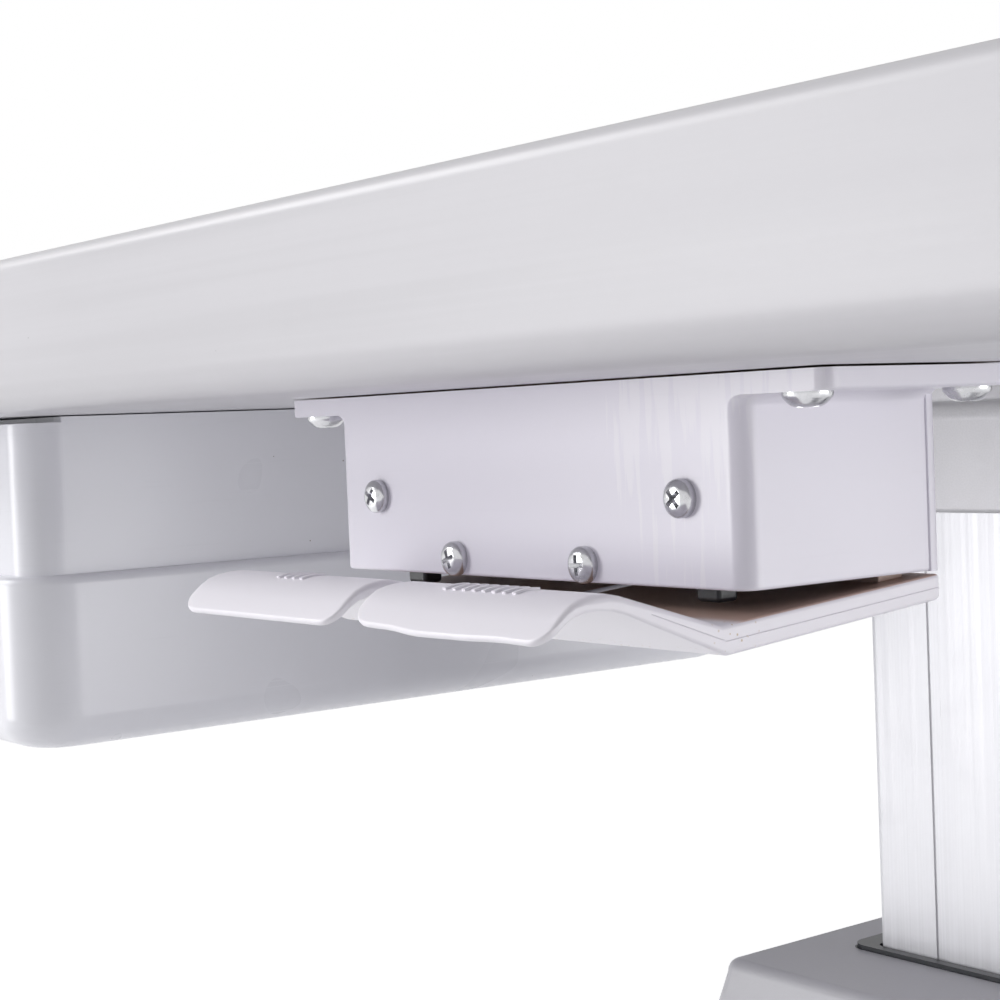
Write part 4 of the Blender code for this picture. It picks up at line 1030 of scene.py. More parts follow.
@dataclass
class RockerPaddle:
    """Rocker paddle: rear arm, valley, hump and lip in one moulding, with grip ribs on the hump.

    Stations along the profile are given ahead of the box's front and above its bottom.
    """

    label: str
    rib_count: int
    lip_line: tuple[float, ...]
    rear_reach: float = 0.0004
    rear_drop: float = 0.0006
    rear_thickness: float = 0.0040
    top_stations: tuple[tuple[float, float], ...] = ((0.0046, -0.0043), (0.0290, 0.0034), (0.0371, -0.0036))
    under_stations: tuple[tuple[float, float], ...] = ((0.0037, -0.0086), (0.0287, 0.0015), (0.0363, -0.0044))
    top_radii: tuple[float, ...] = (0.0006, 0.0005, 0.0120, 0.0005)
    under_radii: tuple[float, ...] = (0.0009, 0.0012, 0.0125, 0.0005)
    top_edges: tuple[float, ...] = (0.0006, 0.0007, 0.0013, 0.00045)
    under_edges: tuple[float, ...] = (0.0006, 0.0006, 0.0004, 0.0003)
    lip_corners: tuple[float, float] = (0.0045, 0.0034)
    end_reach: float = 0.0048
    end_shares: tuple[float, ...] = (0.1, 0.22, 0.36, 0.52, 0.74, 1.0)
    parting: float = 0.00022
    parting_over: float = 0.001
    parting_front: float = 0.55
    sections: int = 22
    rib_pitch: float = 0.0023
    rib_width: float = 0.0010
    rib_height: float = 0.0003
    rib_root: float = 0.0005
    rib_edge: float = 0.0002
    rib_arc: tuple[int, int, int] = (84, 106, 3)
    knuckle_radius: float = 0.0028
    knuckle_round: float = 0.99
    knuckle_edge: float = 0.0003
    knuckle_width: float = 0.008
    knuckle_inset: float = 0.004
    knuckle_root: float = 0.002
    pin_clearance: float = 0.0003

    def line(self, rear_drop: float, stations: Sequence[tuple[float, float]]) -> list[Vector]:
        """Corners of the top or of the underside.

        Args:
            rear_drop: how far its rear end lies under the box.
            stations: its other corners.

        Returns:
            The corners as (y, z), from the rear end to the lip.
        """
        low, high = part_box("switch_box")
        rear = Vector((high.y + self.rear_reach, low.z - rear_drop))
        return [rear, *(Vector((low.y - ahead, low.z + rise)) for ahead, rise in stations)]

    @cached_property
    def top(self) -> list[Vector]:
        """Corners of the top."""
        return self.line(self.rear_drop, self.top_stations)

    @cached_property
    def under(self) -> list[Vector]:
        """Corners of the underside."""
        return self.line(self.rear_drop + self.rear_thickness, self.under_stations)

    @cached_property
    def spine(self) -> list[Vector]:
        """Corners half way between the top and the underside."""
        return [(above + below) / 2 for above, below in zip(self.top, self.under)]

    def profile(self) -> tuple[list[Vector], np.ndarray]:
        """Section of the moulding.

        Returns:
            Points of its closed outline, as (y, z), and the radius of the end's edge at each.
        """
        above = [(*point, radius) for point, radius in zip(self.top, self.top_radii)]
        below = [(*point, radius) for point, radius in zip(self.under, self.under_radii)]
        points = outline(above + below[::-1])
        reaches = [point.x for point in reversed(self.spine)]
        tip = min(range(len(points)), key=lambda index: points[index].x)
        edges = []
        for index, (y, _) in enumerate(points):
            radii = self.top_edges if index <= tip else self.under_edges
            edges.append(np.interp(y, reaches, radii[::-1]))
        return points, np.array(edges)

    def lip_shift(self, place: float, width: float) -> float:
        """How far the lip reaches out at a place along it.

        Args:
            place: distance from the left end.
            width: width of the paddle.

        Returns:
            The reach, which waves a little and falls off at the corners.
        """
        cut = 0.0
        for corner, away in zip(self.lip_corners, (place, width - place)):
            cut += corner - math.sqrt(corner ** 2 - max(0.0, corner - away) ** 2)
        spans = len(self.lip_line) - 1
        span = min(int(spans * place / width), spans - 1)
        share = (1 - math.cos(math.pi * (spans * place / width - span))) / 2
        return self.lip_line[span] * (1 - share) + self.lip_line[span + 1] * share - cut

    def ring(self, points: Sequence[Vector], places: np.ndarray, low: float, high: float) -> list[Vector]:
        """Section of the moulding in space, with its lip shifted.

        Args:
            points: outline of the section.
            places: place of each point along X.
            low: left end of the paddle.
            high: right end of the paddle.

        Returns:
            Points of the section.
        """
        hump, lip = self.spine[2:]
        run = (lip - hump).normalized()
        bent = []
        for point, x in zip(points, places):
            pull = max(0.0, (point - hump).dot(run) / (lip - hump).length)
            bent.append(point + run * self.lip_shift(float(x) - low, high - low) * pull)
        return stand(bent, Axis.X, places)

    def sheet(self, low: float, high: float) -> BMesh:
        """Moulding between two places along X.

        Args:
            low: its left end.
            high: its right end.

        Returns:
            The moulding's solid.
        """
        points, edges = self.profile()
        ends = quarter(edges)
        for share in self.end_shares:
            ends.append((0 * edges, edges + (self.end_reach - edges) * share))
        sections = [(shrink, low + into) for shrink, into in ends]
        room = high - low - 2 * self.end_reach
        for step in range(1, self.sections):
            sections.append((0 * edges, 0 * edges + low + self.end_reach + room * step / self.sections))
        sections += [(shrink, high - into) for shrink, into in reversed(ends)]
        return loft([self.ring(inset(points, shrink), places, low, high) for shrink, places in sections])

    def parting_groove(self, low: float, high: float) -> BMesh:
        """Cutter for the parting line that runs along the middle of each end, from the front arm back.

        Args:
            low: left end of the paddle.
            high: right end of the paddle.

        Returns:
            The cutter's solid.
        """
        rear, valley, hump, _ = self.spine
        path = [rear + (rear - valley).normalized() * self.parting_over, valley,
                valley.lerp(hump, self.parting_front)]
        lift = Vector((0.0, self.parting / 2))
        strip = [point + lift for point in path] + [point - lift for point in reversed(path)]
        return gathered([rounded_prism(strip, Axis.X, (end - self.parting, end + self.parting), (0.0, 0.0))
                         for end in (low, high)])

    def ribs(self, middle: float) -> list[BMesh]:
        """Low ribs across the top of the hump.

        Args:
            middle: place of the middle of the row.

        Returns:
            The ribs' solids.
        """
        corner, radius = self.top[2], self.top_radii[2]
        before, after = ((self.top[near] - corner).normalized() for near in (1, 3))
        centre = corner + (before + after).normalized() * radius / math.sin(before.angle(after) / 2)
        angles = [math.radians(angle) for angle in range(*self.rib_arc)]
        across = [Vector((math.cos(angle), math.sin(angle))) for angle in angles]
        loop = [centre + way * (radius + self.rib_height) for way in across]
        loop += [centre + way * (radius - self.rib_root) for way in reversed(across)]
        half, rims = self.rib_width / 2, (self.rib_edge, self.rib_edge)
        places = [middle + self.rib_pitch * (number - (self.rib_count - 1) / 2)
                  for number in range(self.rib_count)]
        return [rounded_prism(loop, Axis.X, (x - half, x + half), rims) for x in places]

    def knuckles(self, low: float, high: float) -> list[BMesh]:
        """Two hinge knuckles that come up round the pin.

        Args:
            low: left end of the paddle.
            high: right end of the paddle.

        Returns:
            The knuckles' solids.
        """
        pin_low, pin_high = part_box("paddle_pin")
        y, z = (pin_low.y + pin_high.y) / 2, (pin_low.z + pin_high.z) / 2
        foot = self.top[0].y - self.knuckle_root
        radius, edge = self.knuckle_radius, self.knuckle_edge
        bend = self.knuckle_round * radius
        cheek = outline([(y - radius, foot, 0.0), (y + radius, foot, 0.0), (y + radius, z + radius, bend),
                         (y - radius, z + radius, bend)])
        starts = (low + self.knuckle_inset, high - self.knuckle_inset - self.knuckle_width)
        return [rounded_prism(cheek, Axis.X, (x, x + self.knuckle_width), (edge, edge)) for x in starts]

    def build(self) -> None:
        """Model and dress the paddle."""
        low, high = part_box(f"{self.label}_paddle")
        shape = fused(self.sheet(low.x, high.x), self.parting_groove(low.x, high.x), Fusion.CUT)
        additions = self.ribs((low.x + high.x) / 2) + self.knuckles(low.x, high.x)
        shape = fused(shape, gathered(additions), Fusion.JOIN)
        pin_low, pin_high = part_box("paddle_pin")
        centre = (pin_low + pin_high) / 2
        bore = (pin_high.z - pin_low.z) / 2 + self.pin_clearance
        reach = high.x - low.x
        drill = turned([(0.0, -reach), (bore, -reach), (bore, reach), (0.0, reach)],
                       (low.x, centre.y, centre.z), (1, 0, 0))
        shape = fused(shape, drill, Fusion.CUT)
        piece(f"{self.label}_paddle_moulding", shape, [PADDLE_PLASTIC], f"{self.label}_rocker",
              [f"{self.label}_paddle"])


@dataclass
class Drawer:
    """Two-tier drawer: a fixed housing above, and a sliding tub with a full-height face."""

    corner: float = 0.015
    lower_edge: float = 0.008
    wall: float = 0.0025
    tier_step: float = 0.003
    tier_edge: float = 0.0022
    joint: float = 0.00001
    front_wall: float = 0.014
    face_wall: float = 0.0095
    rail_width: float = 0.005
    rail_thickness: float = 0.0025
    roof: float = 0.003
    run_gap: float = 0.0003
    pull_width: float = 0.090
    pull_depth: float = 0.008
    pull_height: float = 0.016
    pull_corner: float = 0.0045
    pull_edge: float = 0.0035
    neck_corner: float = 0.0012
    mouth_corner: float = 0.002
    face_back: float = 0.0004
    face_edge: float = 0.0002
    room_corner: float = 0.0008
    room_edge: float = 0.0004

    def build(self) -> None:
        """Model and dress both tiers and the screws."""
        piece("drawer_tub_moulding", self.tub(), [DRAWER_PLASTIC], Body.DRAWER.value,
              ["drawer_tub"])
        piece("drawer_housing_moulding", self.housing(), [DRAWER_PLASTIC], Body.LIFT.value,
              ["drawer_housing"])
        screw_group("housing_screw", HOUSING_SCREW, (0, 0, -1))

    def ring(self, low: Vector, high: Vector, insets: tuple[float, float, float, float], radius: float,
             z: float) -> list[Vector]:
        """Rounded rectangle inside the tub's outline.

        Args:
            low: lowest corner of the tub.
            high: highest corner of the tub.
            insets: distances in from the left, front, right and back.
            radius: radius of its corners.
            z: its height.

        Returns:
            Points of the ring.
        """
        left, front, right, back = insets
        plan = rectangle((low.x + left, low.y + front), (high.x - right, high.y - back), radius)
        return stand(plan, Axis.Z, z)

    def tub(self) -> BMesh:
        """Sliding tub: its wall goes up outside, over the rim, and down again inside."""
        low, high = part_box("drawer_tub")
        house_low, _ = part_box("drawer_housing")
        tier = house_low.z - self.joint
        rim_low = house_low.z + self.rail_thickness + self.run_gap
        rim_high = rim_low + self.rail_thickness
        rings = []
        for into, up in quarter(self.lower_edge, 2 * EDGE_STEPS):
            rings.append(self.ring(low, high, (into,) * 4, self.corner - into, low.z + up))
        for down, into in quarter(self.tier_edge):
            rings.append(self.ring(low, high, (into,) * 4, self.corner - into, tier - down))
        side = self.tier_step + self.wall
        front = self.tier_step + self.face_wall - self.wall
        back = side + self.run_gap
        neck = (side + self.rail_width + self.run_gap, front, side + self.rail_width + self.run_gap, back)
        lip = (side + self.run_gap, front, side + self.run_gap, back)
        mouth = (neck[0] + self.wall, self.front_wall, neck[2] + self.wall, back + self.wall)
        inside = (self.wall, self.front_wall, self.wall, self.wall)
        shelves = [(neck, self.neck_corner, tier), (neck, self.neck_corner, rim_low),
                   (lip, self.neck_corner, rim_low), (lip, self.neck_corner, rim_high),
                   (mouth, self.mouth_corner, rim_high), (mouth, self.mouth_corner, tier - self.wall),
                   (inside, self.corner - self.wall, tier - self.wall)]
        for up, into in quarter(self.lower_edge - self.wall):
            shelves.append((tuple(edge + into for edge in inside), self.corner - self.wall - into,
                            low.z + self.wall + up))
        rings += [self.ring(low, high, insets, radius, z) for insets, radius, z in shelves]
        tub = fused(loft(rings), self.face(low, high, tier), Fusion.JOIN)
        return fused(tub, self.pull(low, high), Fusion.CUT)

    def face(self, low: Vector, high: Vector, tier: float) -> BMesh:
        """Upper half of the front, which hides the housing.

        Args:
            low: lowest corner of the tub.
            high: highest corner of the tub.
            tier: height of the step between the tiers.

        Returns:
            The front's solid.
        """
        left, right = low.x + self.tier_step, high.x - self.tier_step
        front = low.y + self.tier_step
        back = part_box("drawer_housing")[0].y - self.joint
        bend = self.face_wall - self.face_back
        plan = outline([(left, front, bend), (right, front, bend), (right, back, 0.0), (left, back, 0.0)])
        return rounded_prism(plan, Axis.Z, (tier - self.wall / 2, high.z), (0.0, self.face_edge))

    def pull(self, low: Vector, high: Vector) -> BMesh:
        """Cutter for the finger pull under the front.

        Args:
            low: lowest corner of the tub.
            high: highest corner of the tub.

        Returns:
            The cutter's solid.
        """
        middle, half = (low.x + high.x) / 2, self.pull_width / 2
        return block((middle - half, low.y - self.pull_depth, low.z - self.pull_height),
                     (middle + half, low.y + self.pull_depth, low.z + self.pull_height),
                     self.pull_corner, (0.0, self.pull_edge))

    def housing(self) -> BMesh:
        """Fixed upper tier: a roof, two sides with rails, and a back."""
        low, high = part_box("drawer_housing")
        shell = block(low, high)
        room = block((low.x + self.wall, low.y - CUT_OVER, low.z + self.rail_thickness),
                     (high.x - self.wall, high.y - self.wall, high.z - self.roof), self.room_corner,
                     (self.room_edge, self.room_edge))
        rail = self.wall + self.rail_width
        gap = block((low.x + rail, low.y - CUT_OVER, low.z - CUT_OVER),
                    (high.x - rail, high.y - self.wall, low.z + 2 * self.rail_thickness), self.room_corner)
        return fused(fused(shell, room, Fusion.CUT), gap, Fusion.CUT)


@dataclass
class Column:
    """Lifting column: grooved aluminium profile and the cast head under the tabletop."""

    wall: float = 0.004
    corner: float = 0.002
    groove_inset: float = 0.0185
    groove_width: float = 0.0030
    groove_depth: float = 0.0004
    groove_edge: float = 0.00018
    head_wall: float = 0.006
    head_pocket: float = 0.020
    flange_thickness: float = 0.005
    flange_corner: float = 0.012
    head_fillet: float = 0.004
    head_edge: float = 0.0010
    edge_share: float = 0.3
    bore_corner: float = 0.002

    def build(self) -> None:
        """Model and dress the column, its head and what runs inside."""
        piece("column_profile", self.extrusion(), [ANODISED], Body.LIFT.value,
              ["inner_column"])
        piece("column_head_casting", self.head(), [CAST], Body.LIFT.value, ["column_head"])
        screw_group("flange_screw", FLANGE_SCREW, (0, 0, -1))
        refinish(["lower_guide_bush", "upper_guide_bush", "actuator_gearbox", "control_unit"], BLACK_PLASTIC)
        refinish(["outer_tube", "column_base_plate", "actuator_motor", "actuator_tube", "push_rod"], STEEL)

    def extrusion(self) -> BMesh:
        """Hollow profile with two long grooves on its front and on its back."""
        low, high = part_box("inner_column")
        half, edge = self.groove_width / 2, self.groove_edge
        grooves = [low.x + self.groove_inset, high.x - self.groove_inset]
        front = [(low.x, low.y, self.corner)]
        for x in grooves:
            front += [(x - half, low.y, edge), (x - half, low.y + self.groove_depth, edge),
                      (x + half, low.y + self.groove_depth, edge), (x + half, low.y, edge)]
        front.append((high.x, low.y, self.corner))
        middle = low + high
        section = outline(front + [(middle.x - x, middle.y - y, radius) for x, y, radius in front])
        profile = rounded_prism(section, Axis.Z, (low.z, high.z), (0.0, 0.0))
        bore = block((low.x + self.wall, low.y + self.wall, low.z - self.wall),
                     (high.x - self.wall, high.y - self.wall, high.z + self.wall), self.bore_corner)
        return fused(profile, bore, Fusion.CUT)

    def head(self) -> BMesh:
        """Casting: a skirt round the column that swells into a flange."""
        low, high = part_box("column_head")
        column_low, column_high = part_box("inner_column")
        skirt_x = column_high.x + self.head_wall
        skirt_y = column_high.y + self.head_wall
        under = high.z - self.flange_thickness
        levels = [(skirt_x - into, skirt_y - into, self.head_wall - into, low.z + up)
                  for into, up in quarter(self.head_edge)]
        levels += [(skirt_x + out, skirt_y + out, self.head_wall + out, under - down)
                   for down, out in quarter(self.head_fillet, 2 * EDGE_STEPS)]
        edge, bend = self.head_edge, self.edge_share * self.head_edge
        for into, z in ((edge, under), (bend, under + bend), (0.0, under + edge), (0.0, high.z)):
            levels.append((high.x - into, high.y - into, self.flange_corner, z))
        pocket = block((column_low.x, column_low.y, low.z - self.wall),
                       (column_high.x, column_high.y, low.z + self.head_pocket), self.corner)
        return fused(loft([centred_ring(*level) for level in levels]), pocket, Fusion.CUT)


@dataclass
class Pedestal:
    """Moulded cover round the column's tube, open at its foot, with a slot in its top and a black seal in it
    whose darkness also paints the gap's shade.
    """

    wall: float = 0.003
    corner: float = 0.004
    upper_edge: float = 0.003
    cap_height: float = 0.012
    cap_flare: float = 0.0022
    slot_side: float = 0.0062
    slot_front: float = 0.003
    slot_corner: float = 0.004
    slot_edge: float = 0.0004
    seal_gap: float = 0.0005
    seal_corner: float = 0.002
    seal_rise: float = 0.0010
    dark_slot_margin: float = 0.00005
    top_x: float = 0.0777
    top_y: float = 0.0665

    def build(self) -> None:
        """Model the cover as one skin from its foot, over its top, into the slot and down inside."""
        low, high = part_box("pedestal_cover")
        _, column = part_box("inner_column")
        slot_x, slot_y = column.x + self.slot_side, column.y + self.slot_front
        cap_x, cap_y = self.top_x + self.cap_flare, self.top_y + self.cap_flare
        levels = [(high.x, high.y, self.corner, low.z), (cap_x, cap_y, self.corner, high.z - self.cap_height)]
        levels += [(self.top_x - into, self.top_y - into, self.corner - into, high.z - down)
                   for down, into in quarter(self.upper_edge, 2 * EDGE_STEPS)]
        levels += [(slot_x + out, slot_y + out, self.slot_corner, high.z - down)
                   for out, down in quarter(self.slot_edge)]
        seal_x, seal_y = column.x + self.seal_gap, column.y + self.seal_gap
        inner = self.corner - self.wall
        levels += [(slot_x, slot_y, self.slot_corner, high.z + self.seal_rise),
                   (seal_x, seal_y, self.seal_corner, high.z + self.seal_rise),
                   (seal_x, seal_y, self.seal_corner, high.z - self.wall),
                   (self.top_x - self.wall, self.top_y - self.wall, inner, high.z - self.wall),
                   (high.x - self.wall, high.y - self.wall, inner, low.z)]
        cover = loft([centred_ring(*level) for level in levels], True)
        # Faces in the slot and on the seal take the black finish, which also paints the shade in the gap
        # round the column.
        for face in cover.faces:
            x, y, _ = face.calc_center_median()
            if abs(x) < slot_x + self.dark_slot_margin and abs(y) < slot_y + self.dark_slot_margin:
                face.material_index = 1
        piece("pedestal_moulding", cover, [COVER_PLASTIC, BLACK_PLASTIC], Body.BASE.value,
              ["pedestal_cover"])


@dataclass
class Base:
    """Two feet, the pressed beam between them, and the mains inlet."""

    foot_corner: float = 0.024
    foot_edge: float = 0.008
    lower_edge: float = 0.0015
    beam_edge: float = 0.006
    beam_foot: float = 0.0004
    beam_wall: float = 0.003
    beam_inner_edge: float = 0.003
    hole_half: tuple[float, float] = (0.0154, 0.0108)
    inlet_half: tuple[float, float] = (0.015, 0.0105)
    inlet_flange: float = 0.003
    inlet_corner: float = 0.004
    inlet_wall: float = 0.0025
    flange_edges: tuple[float, float] = (0.0002, 0.0008)
    body_corner: float = 0.002
    body_edge: float = 0.0006
    socket_depth: float = 0.016
    socket_chamfer: float = 0.004
    socket_corner: float = 0.001
    socket_bend: float = 0.0005
    socket_edge: float = 0.0004
    pin_width: float = 0.002
    pin_height: float = 0.004
    pin_pitch: float = 0.007
    pin_step: float = 0.0015
    pin_edge: float = 0.0004
    pin_lift: float = 0.0001
    pin_setback: float = 0.003

    def build(self) -> None:
        """Model and dress the feet, the beam and the inlet."""
        for label in ("left", "right"):
            low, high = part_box(f"{label}_foot")
            foot = block(low, high, self.foot_corner, (self.lower_edge, self.foot_edge))
            piece(f"{label}_foot_casting", foot, [PAINT], Body.BASE.value, [f"{label}_foot"])
        piece("beam_pressing", self.beam(), [PAINT], Body.BASE.value, ["cross_beam"])
        piece("inlet_socket", self.inlet(), [BLACK_PLASTIC, ZINC], Body.BASE.value,
              ["power_inlet"])

    def beam(self) -> BMesh:
        """Pressed beam, open below, with the opening for the inlet."""
        low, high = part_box("cross_beam")
        beam = block(low, high, 0.0, (self.beam_foot, self.beam_edge))
        hollow = block((low.x + self.beam_wall, low.y + self.beam_wall, low.z - CUT_OVER),
                       (high.x - self.beam_wall, high.y - self.beam_wall, high.z - self.beam_wall), 0.0,
                       (0.0, self.beam_inner_edge))
        inlet_low, inlet_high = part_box("power_inlet")
        middle = (inlet_low.z + inlet_high.z) / 2
        half_x, half_z = self.hole_half
        hole = block((-half_x, high.y - 2 * self.beam_wall, middle - half_z),
                     (half_x, high.y + self.beam_wall, middle + half_z))
        return fused(fused(beam, hollow, Fusion.CUT), hole, Fusion.CUT)

    def inlet(self) -> BMesh:
        """Inlet: flange, body, chamfered socket and three pins."""
        low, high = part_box("power_inlet")
        middle = (low.z + high.z) / 2
        seat = high.y - self.inlet_flange
        half_x, half_z = self.inlet_half
        flange = rounded_prism(rectangle((low.x, low.z), (high.x, high.z), self.inlet_corner), Axis.Y,
                               (seat, high.y), self.flange_edges)
        plan = rectangle((-half_x, middle - half_z), (half_x, middle + half_z), self.body_corner)
        body = rounded_prism(plan, Axis.Y, (low.y, seat + self.inlet_flange / 2), (self.body_edge, 0.0))
        inlet = fused(flange, body, Fusion.JOIN)
        x, z, cut = half_x - self.inlet_wall, half_z - self.inlet_wall, self.socket_chamfer
        corner, bend = self.socket_corner, self.socket_bend
        socket = outline([(-x, middle - z, corner), (x, middle - z, corner), (x, middle + z - cut, bend),
                          (x - cut, middle + z, bend), (-x + cut, middle + z, bend),
                          (-x, middle + z - cut, bend)])
        floor = high.y - self.socket_depth
        room = rounded_prism(socket, Axis.Y, (floor, high.y + CUT_OVER), (self.socket_edge, 0.0))
        inlet = fused(inlet, room, Fusion.CUT)
        pins = []
        for number in (-1, 0, 1):
            centre = number * self.pin_pitch
            up = middle + (self.pin_step if number == 0 else -self.pin_step)
            blade = rectangle((centre - self.pin_width / 2, up - self.pin_height / 2),
                              (centre + self.pin_width / 2, up + self.pin_height / 2), self.pin_edge)
            pin = rounded_prism(blade, Axis.Y, (floor + self.pin_lift, high.y - self.pin_setback),
                                (0.0, self.pin_edge))
            for face in pin.faces:
                face.material_index = 1
            pins.append(pin)
        return gathered([inlet, *pins])


@dataclass
class Castor:
    """Swivel castor: stamped fork, bolt, wheel, and a foot brake on the front ones."""

    label: str
    braked: bool
    sheet_edge: float = 0.0006
    toe_corner: float = 0.004
    heel_corner: float = 0.003
    heel_height: float = 0.008
    heel_bend: float = 0.006
    boss_round: float = 0.98
    crown_height: float = 0.004
    crown_reach: float = 0.012
    crown_corner: float = 0.003
    crown_edges: tuple[float, float] = (0.0006, 0.0008)
    wall: float = 0.0025
    axle_boss: float = 0.008
    stem_radius: float = 0.005
    stem_length: float = 0.028
    stem_room: float = 1.6
    stem_chamfer: float = 0.001
    sink: float = 0.001
    race_radius: float = 0.0115
    race_height: float = 0.0024
    race_edge: float = 0.0012
    bolt_radius: float = 0.004
    bolt_head: float = 0.006
    head_height: float = 0.0015
    head_edge: float = 0.0011
    nut_edge: float = 0.0004
    axle_gap: float = 0.0003
    hub_radius: float = 0.010
    hub_edge: float = 0.0008
    rim_radius: float = 0.018
    rim_edge: float = 0.0006
    dish: float = 0.002
    tread_edge: float = 0.004
    tread_shoulder: float = 0.0015
    tread_bend: float = 0.004
    groove_mouth: tuple[float, float] = (0.004, 0.002)
    groove_floor: tuple[float, float] = (0.0035, 0.0025)
    groove_depth: float = 0.0008
    groove_edge: float = 0.0002
    pivot_radius: float = 0.002
    pedal_thickness: float = 0.003
    pedal_side: float = 0.0018
    pedal_corner: float = 0.0013
    pedal_edge: float = 0.0006
    shoe_radius: float = 0.003
    shoe_half: float = 0.006
    shoe_ahead: float = 0.012
    tread_ribs: int = 4
    rib_pitch: float = 0.003
    rib_half: float = 0.0006
    rib_root: float = 0.0005
    rib_rise: float = 0.0006
    rib_bend: float = 0.0004
    rib_edge: float = 0.0003
    rib_share: float = 0.7

    @cached_property
    def axle(self) -> Vector:
        """Middle of the wheel."""
        low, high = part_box(f"{self.label}_castor_wheel")
        return (low + high) / 2

    def build(self) -> None:
        """Model and dress the castor's pieces."""
        swivel = f"{self.label}_swivel"
        piece(f"{self.label}_fork_pressing", self.fork(), [PLATED], swivel,
              [f"{self.label}_castor_fork"])
        piece(f"{self.label}_axle_bolt", self.bolt(), [ZINC], swivel,
              [f"{self.label}_castor_axle"])
        piece(f"{self.label}_wheel_and_tread", self.wheel(), [RUBBER, HUB_PLASTIC], f"{self.label}_roller",
              [f"{self.label}_castor_wheel"])
        if self.braked:
            piece(f"{self.label}_brake_pedal", self.brake(), [BRAKE_PLASTIC], f"{self.label}_pedal",
                  [f"{self.label}_castor_brake"])

    def fork(self) -> BMesh:
        """Fork: two cheeks, a crown, the ball race above it and the stem."""
        low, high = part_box(f"{self.label}_castor_fork")
        axle = self.axle
        way = math.copysign(1.0, axle.y)
        stem_y = (low.y if way > 0 else high.y) + way * self.crown_reach
        top = high.z - self.stem_length
        boss, bend = self.axle_boss, self.boss_round * self.axle_boss
        toe, heel = axle.y + way * boss, stem_y - way * self.crown_reach
        cheek = outline([(toe, top, self.toe_corner), (heel, top, self.heel_corner),
                         (heel, top - self.heel_height, self.heel_bend),
                         (axle.y - way * boss, axle.z - boss, bend), (toe, axle.z - boss, bend)])
        fork = gathered([rounded_prism(cheek, Axis.X, (start, start + self.wall),
                                       (self.sheet_edge, self.sheet_edge))
                         for start in (low.x, high.x - self.wall)])
        near, far = sorted((heel, stem_y + way * self.stem_radius * self.stem_room))
        crown = block((low.x + self.wall / 2, near, top - self.crown_height),
                      (high.x - self.wall / 2, far, top), self.crown_corner, self.crown_edges)
        fork = fused(fork, crown, Fusion.JOIN)
        foot, upright = (axle.x, stem_y, top), (0, 0, 1)
        race = outline([(0.0, -self.sink, 0.0), (self.race_radius, -self.sink, 0.0),
                        (self.race_radius, self.race_height, self.race_edge), (0.0, self.race_height, 0.0)])
        fork = fused(fork, turned(race, foot, upright), Fusion.JOIN)
        tall, radius, chamfer = high.z - top, self.stem_radius, self.stem_chamfer
        stem = [(0.0, -self.sink), (radius, -self.sink), (radius, tall - chamfer), (radius - chamfer, tall),
                (0.0, tall)]
        return fused(fork, turned(stem, foot, upright), Fusion.JOIN)

    def bolt(self) -> BMesh:
        """Axle bolt: domed head at one end, hexagon nut at the other."""
        low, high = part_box(f"{self.label}_castor_axle")
        half = (high.x - low.x) / 2
        head = self.head_height
        profile = outline([(0.0, half, 0.0), (self.bolt_head, half, self.head_edge),
                           (self.bolt_head, half - head, 0.0), (self.bolt_radius, half - head, 0.0),
                           (self.bolt_radius, -half, 0.0), (0.0, -half, 0.0)])
        bolt = turned(profile, self.axle, (1, 0, 0))
        spread = [Vector((self.bolt_head * math.cos(math.radians(60 * side)),
                          self.bolt_head * math.sin(math.radians(60 * side)))) for side in range(6)]
        nut = rounded_prism([point + self.axle.yz for point in spread], Axis.X, (low.x, low.x + head),
                            (self.nut_edge, 0.0))
        return fused(bolt, nut, Fusion.JOIN)

    def wheel(self) -> BMesh:
        """Wheel: rubber tread with two grooves on a dished plastic hub."""
        low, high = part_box(f"{self.label}_castor_wheel")
        half, radius = (high.x - low.x) / 2, (high.z - low.z) / 2
        bore, hub, rim = self.bolt_radius + self.axle_gap, self.hub_radius, self.rim_radius
        side = [(bore, half, 0.0), (hub, half, self.hub_edge), (hub, half - self.dish, self.hub_edge),
                (rim, half - self.dish, self.hub_edge), (rim, half, self.rim_edge),
                (radius - self.tread_edge / 2, half, self.tread_shoulder),
                (radius, half - self.tread_edge, self.tread_bend)]
        deep, edge = radius - self.groove_depth, self.groove_edge
        side += [(radius, self.groove_mouth[0], edge), (deep, self.groove_floor[0], edge),
                 (deep, self.groove_floor[1], edge), (radius, self.groove_mouth[1], edge)]
        profile = outline(side + [(reach, -across, curve) for reach, across, curve in reversed(side)])
        wheel = turned(profile, self.axle, (1, 0, 0), 2 * ROUND_STEPS)
        for face in wheel.faces:
            if (face.calc_center_median() - self.axle).yz.length < self.rim_radius:
                face.material_index = 1
        return wheel

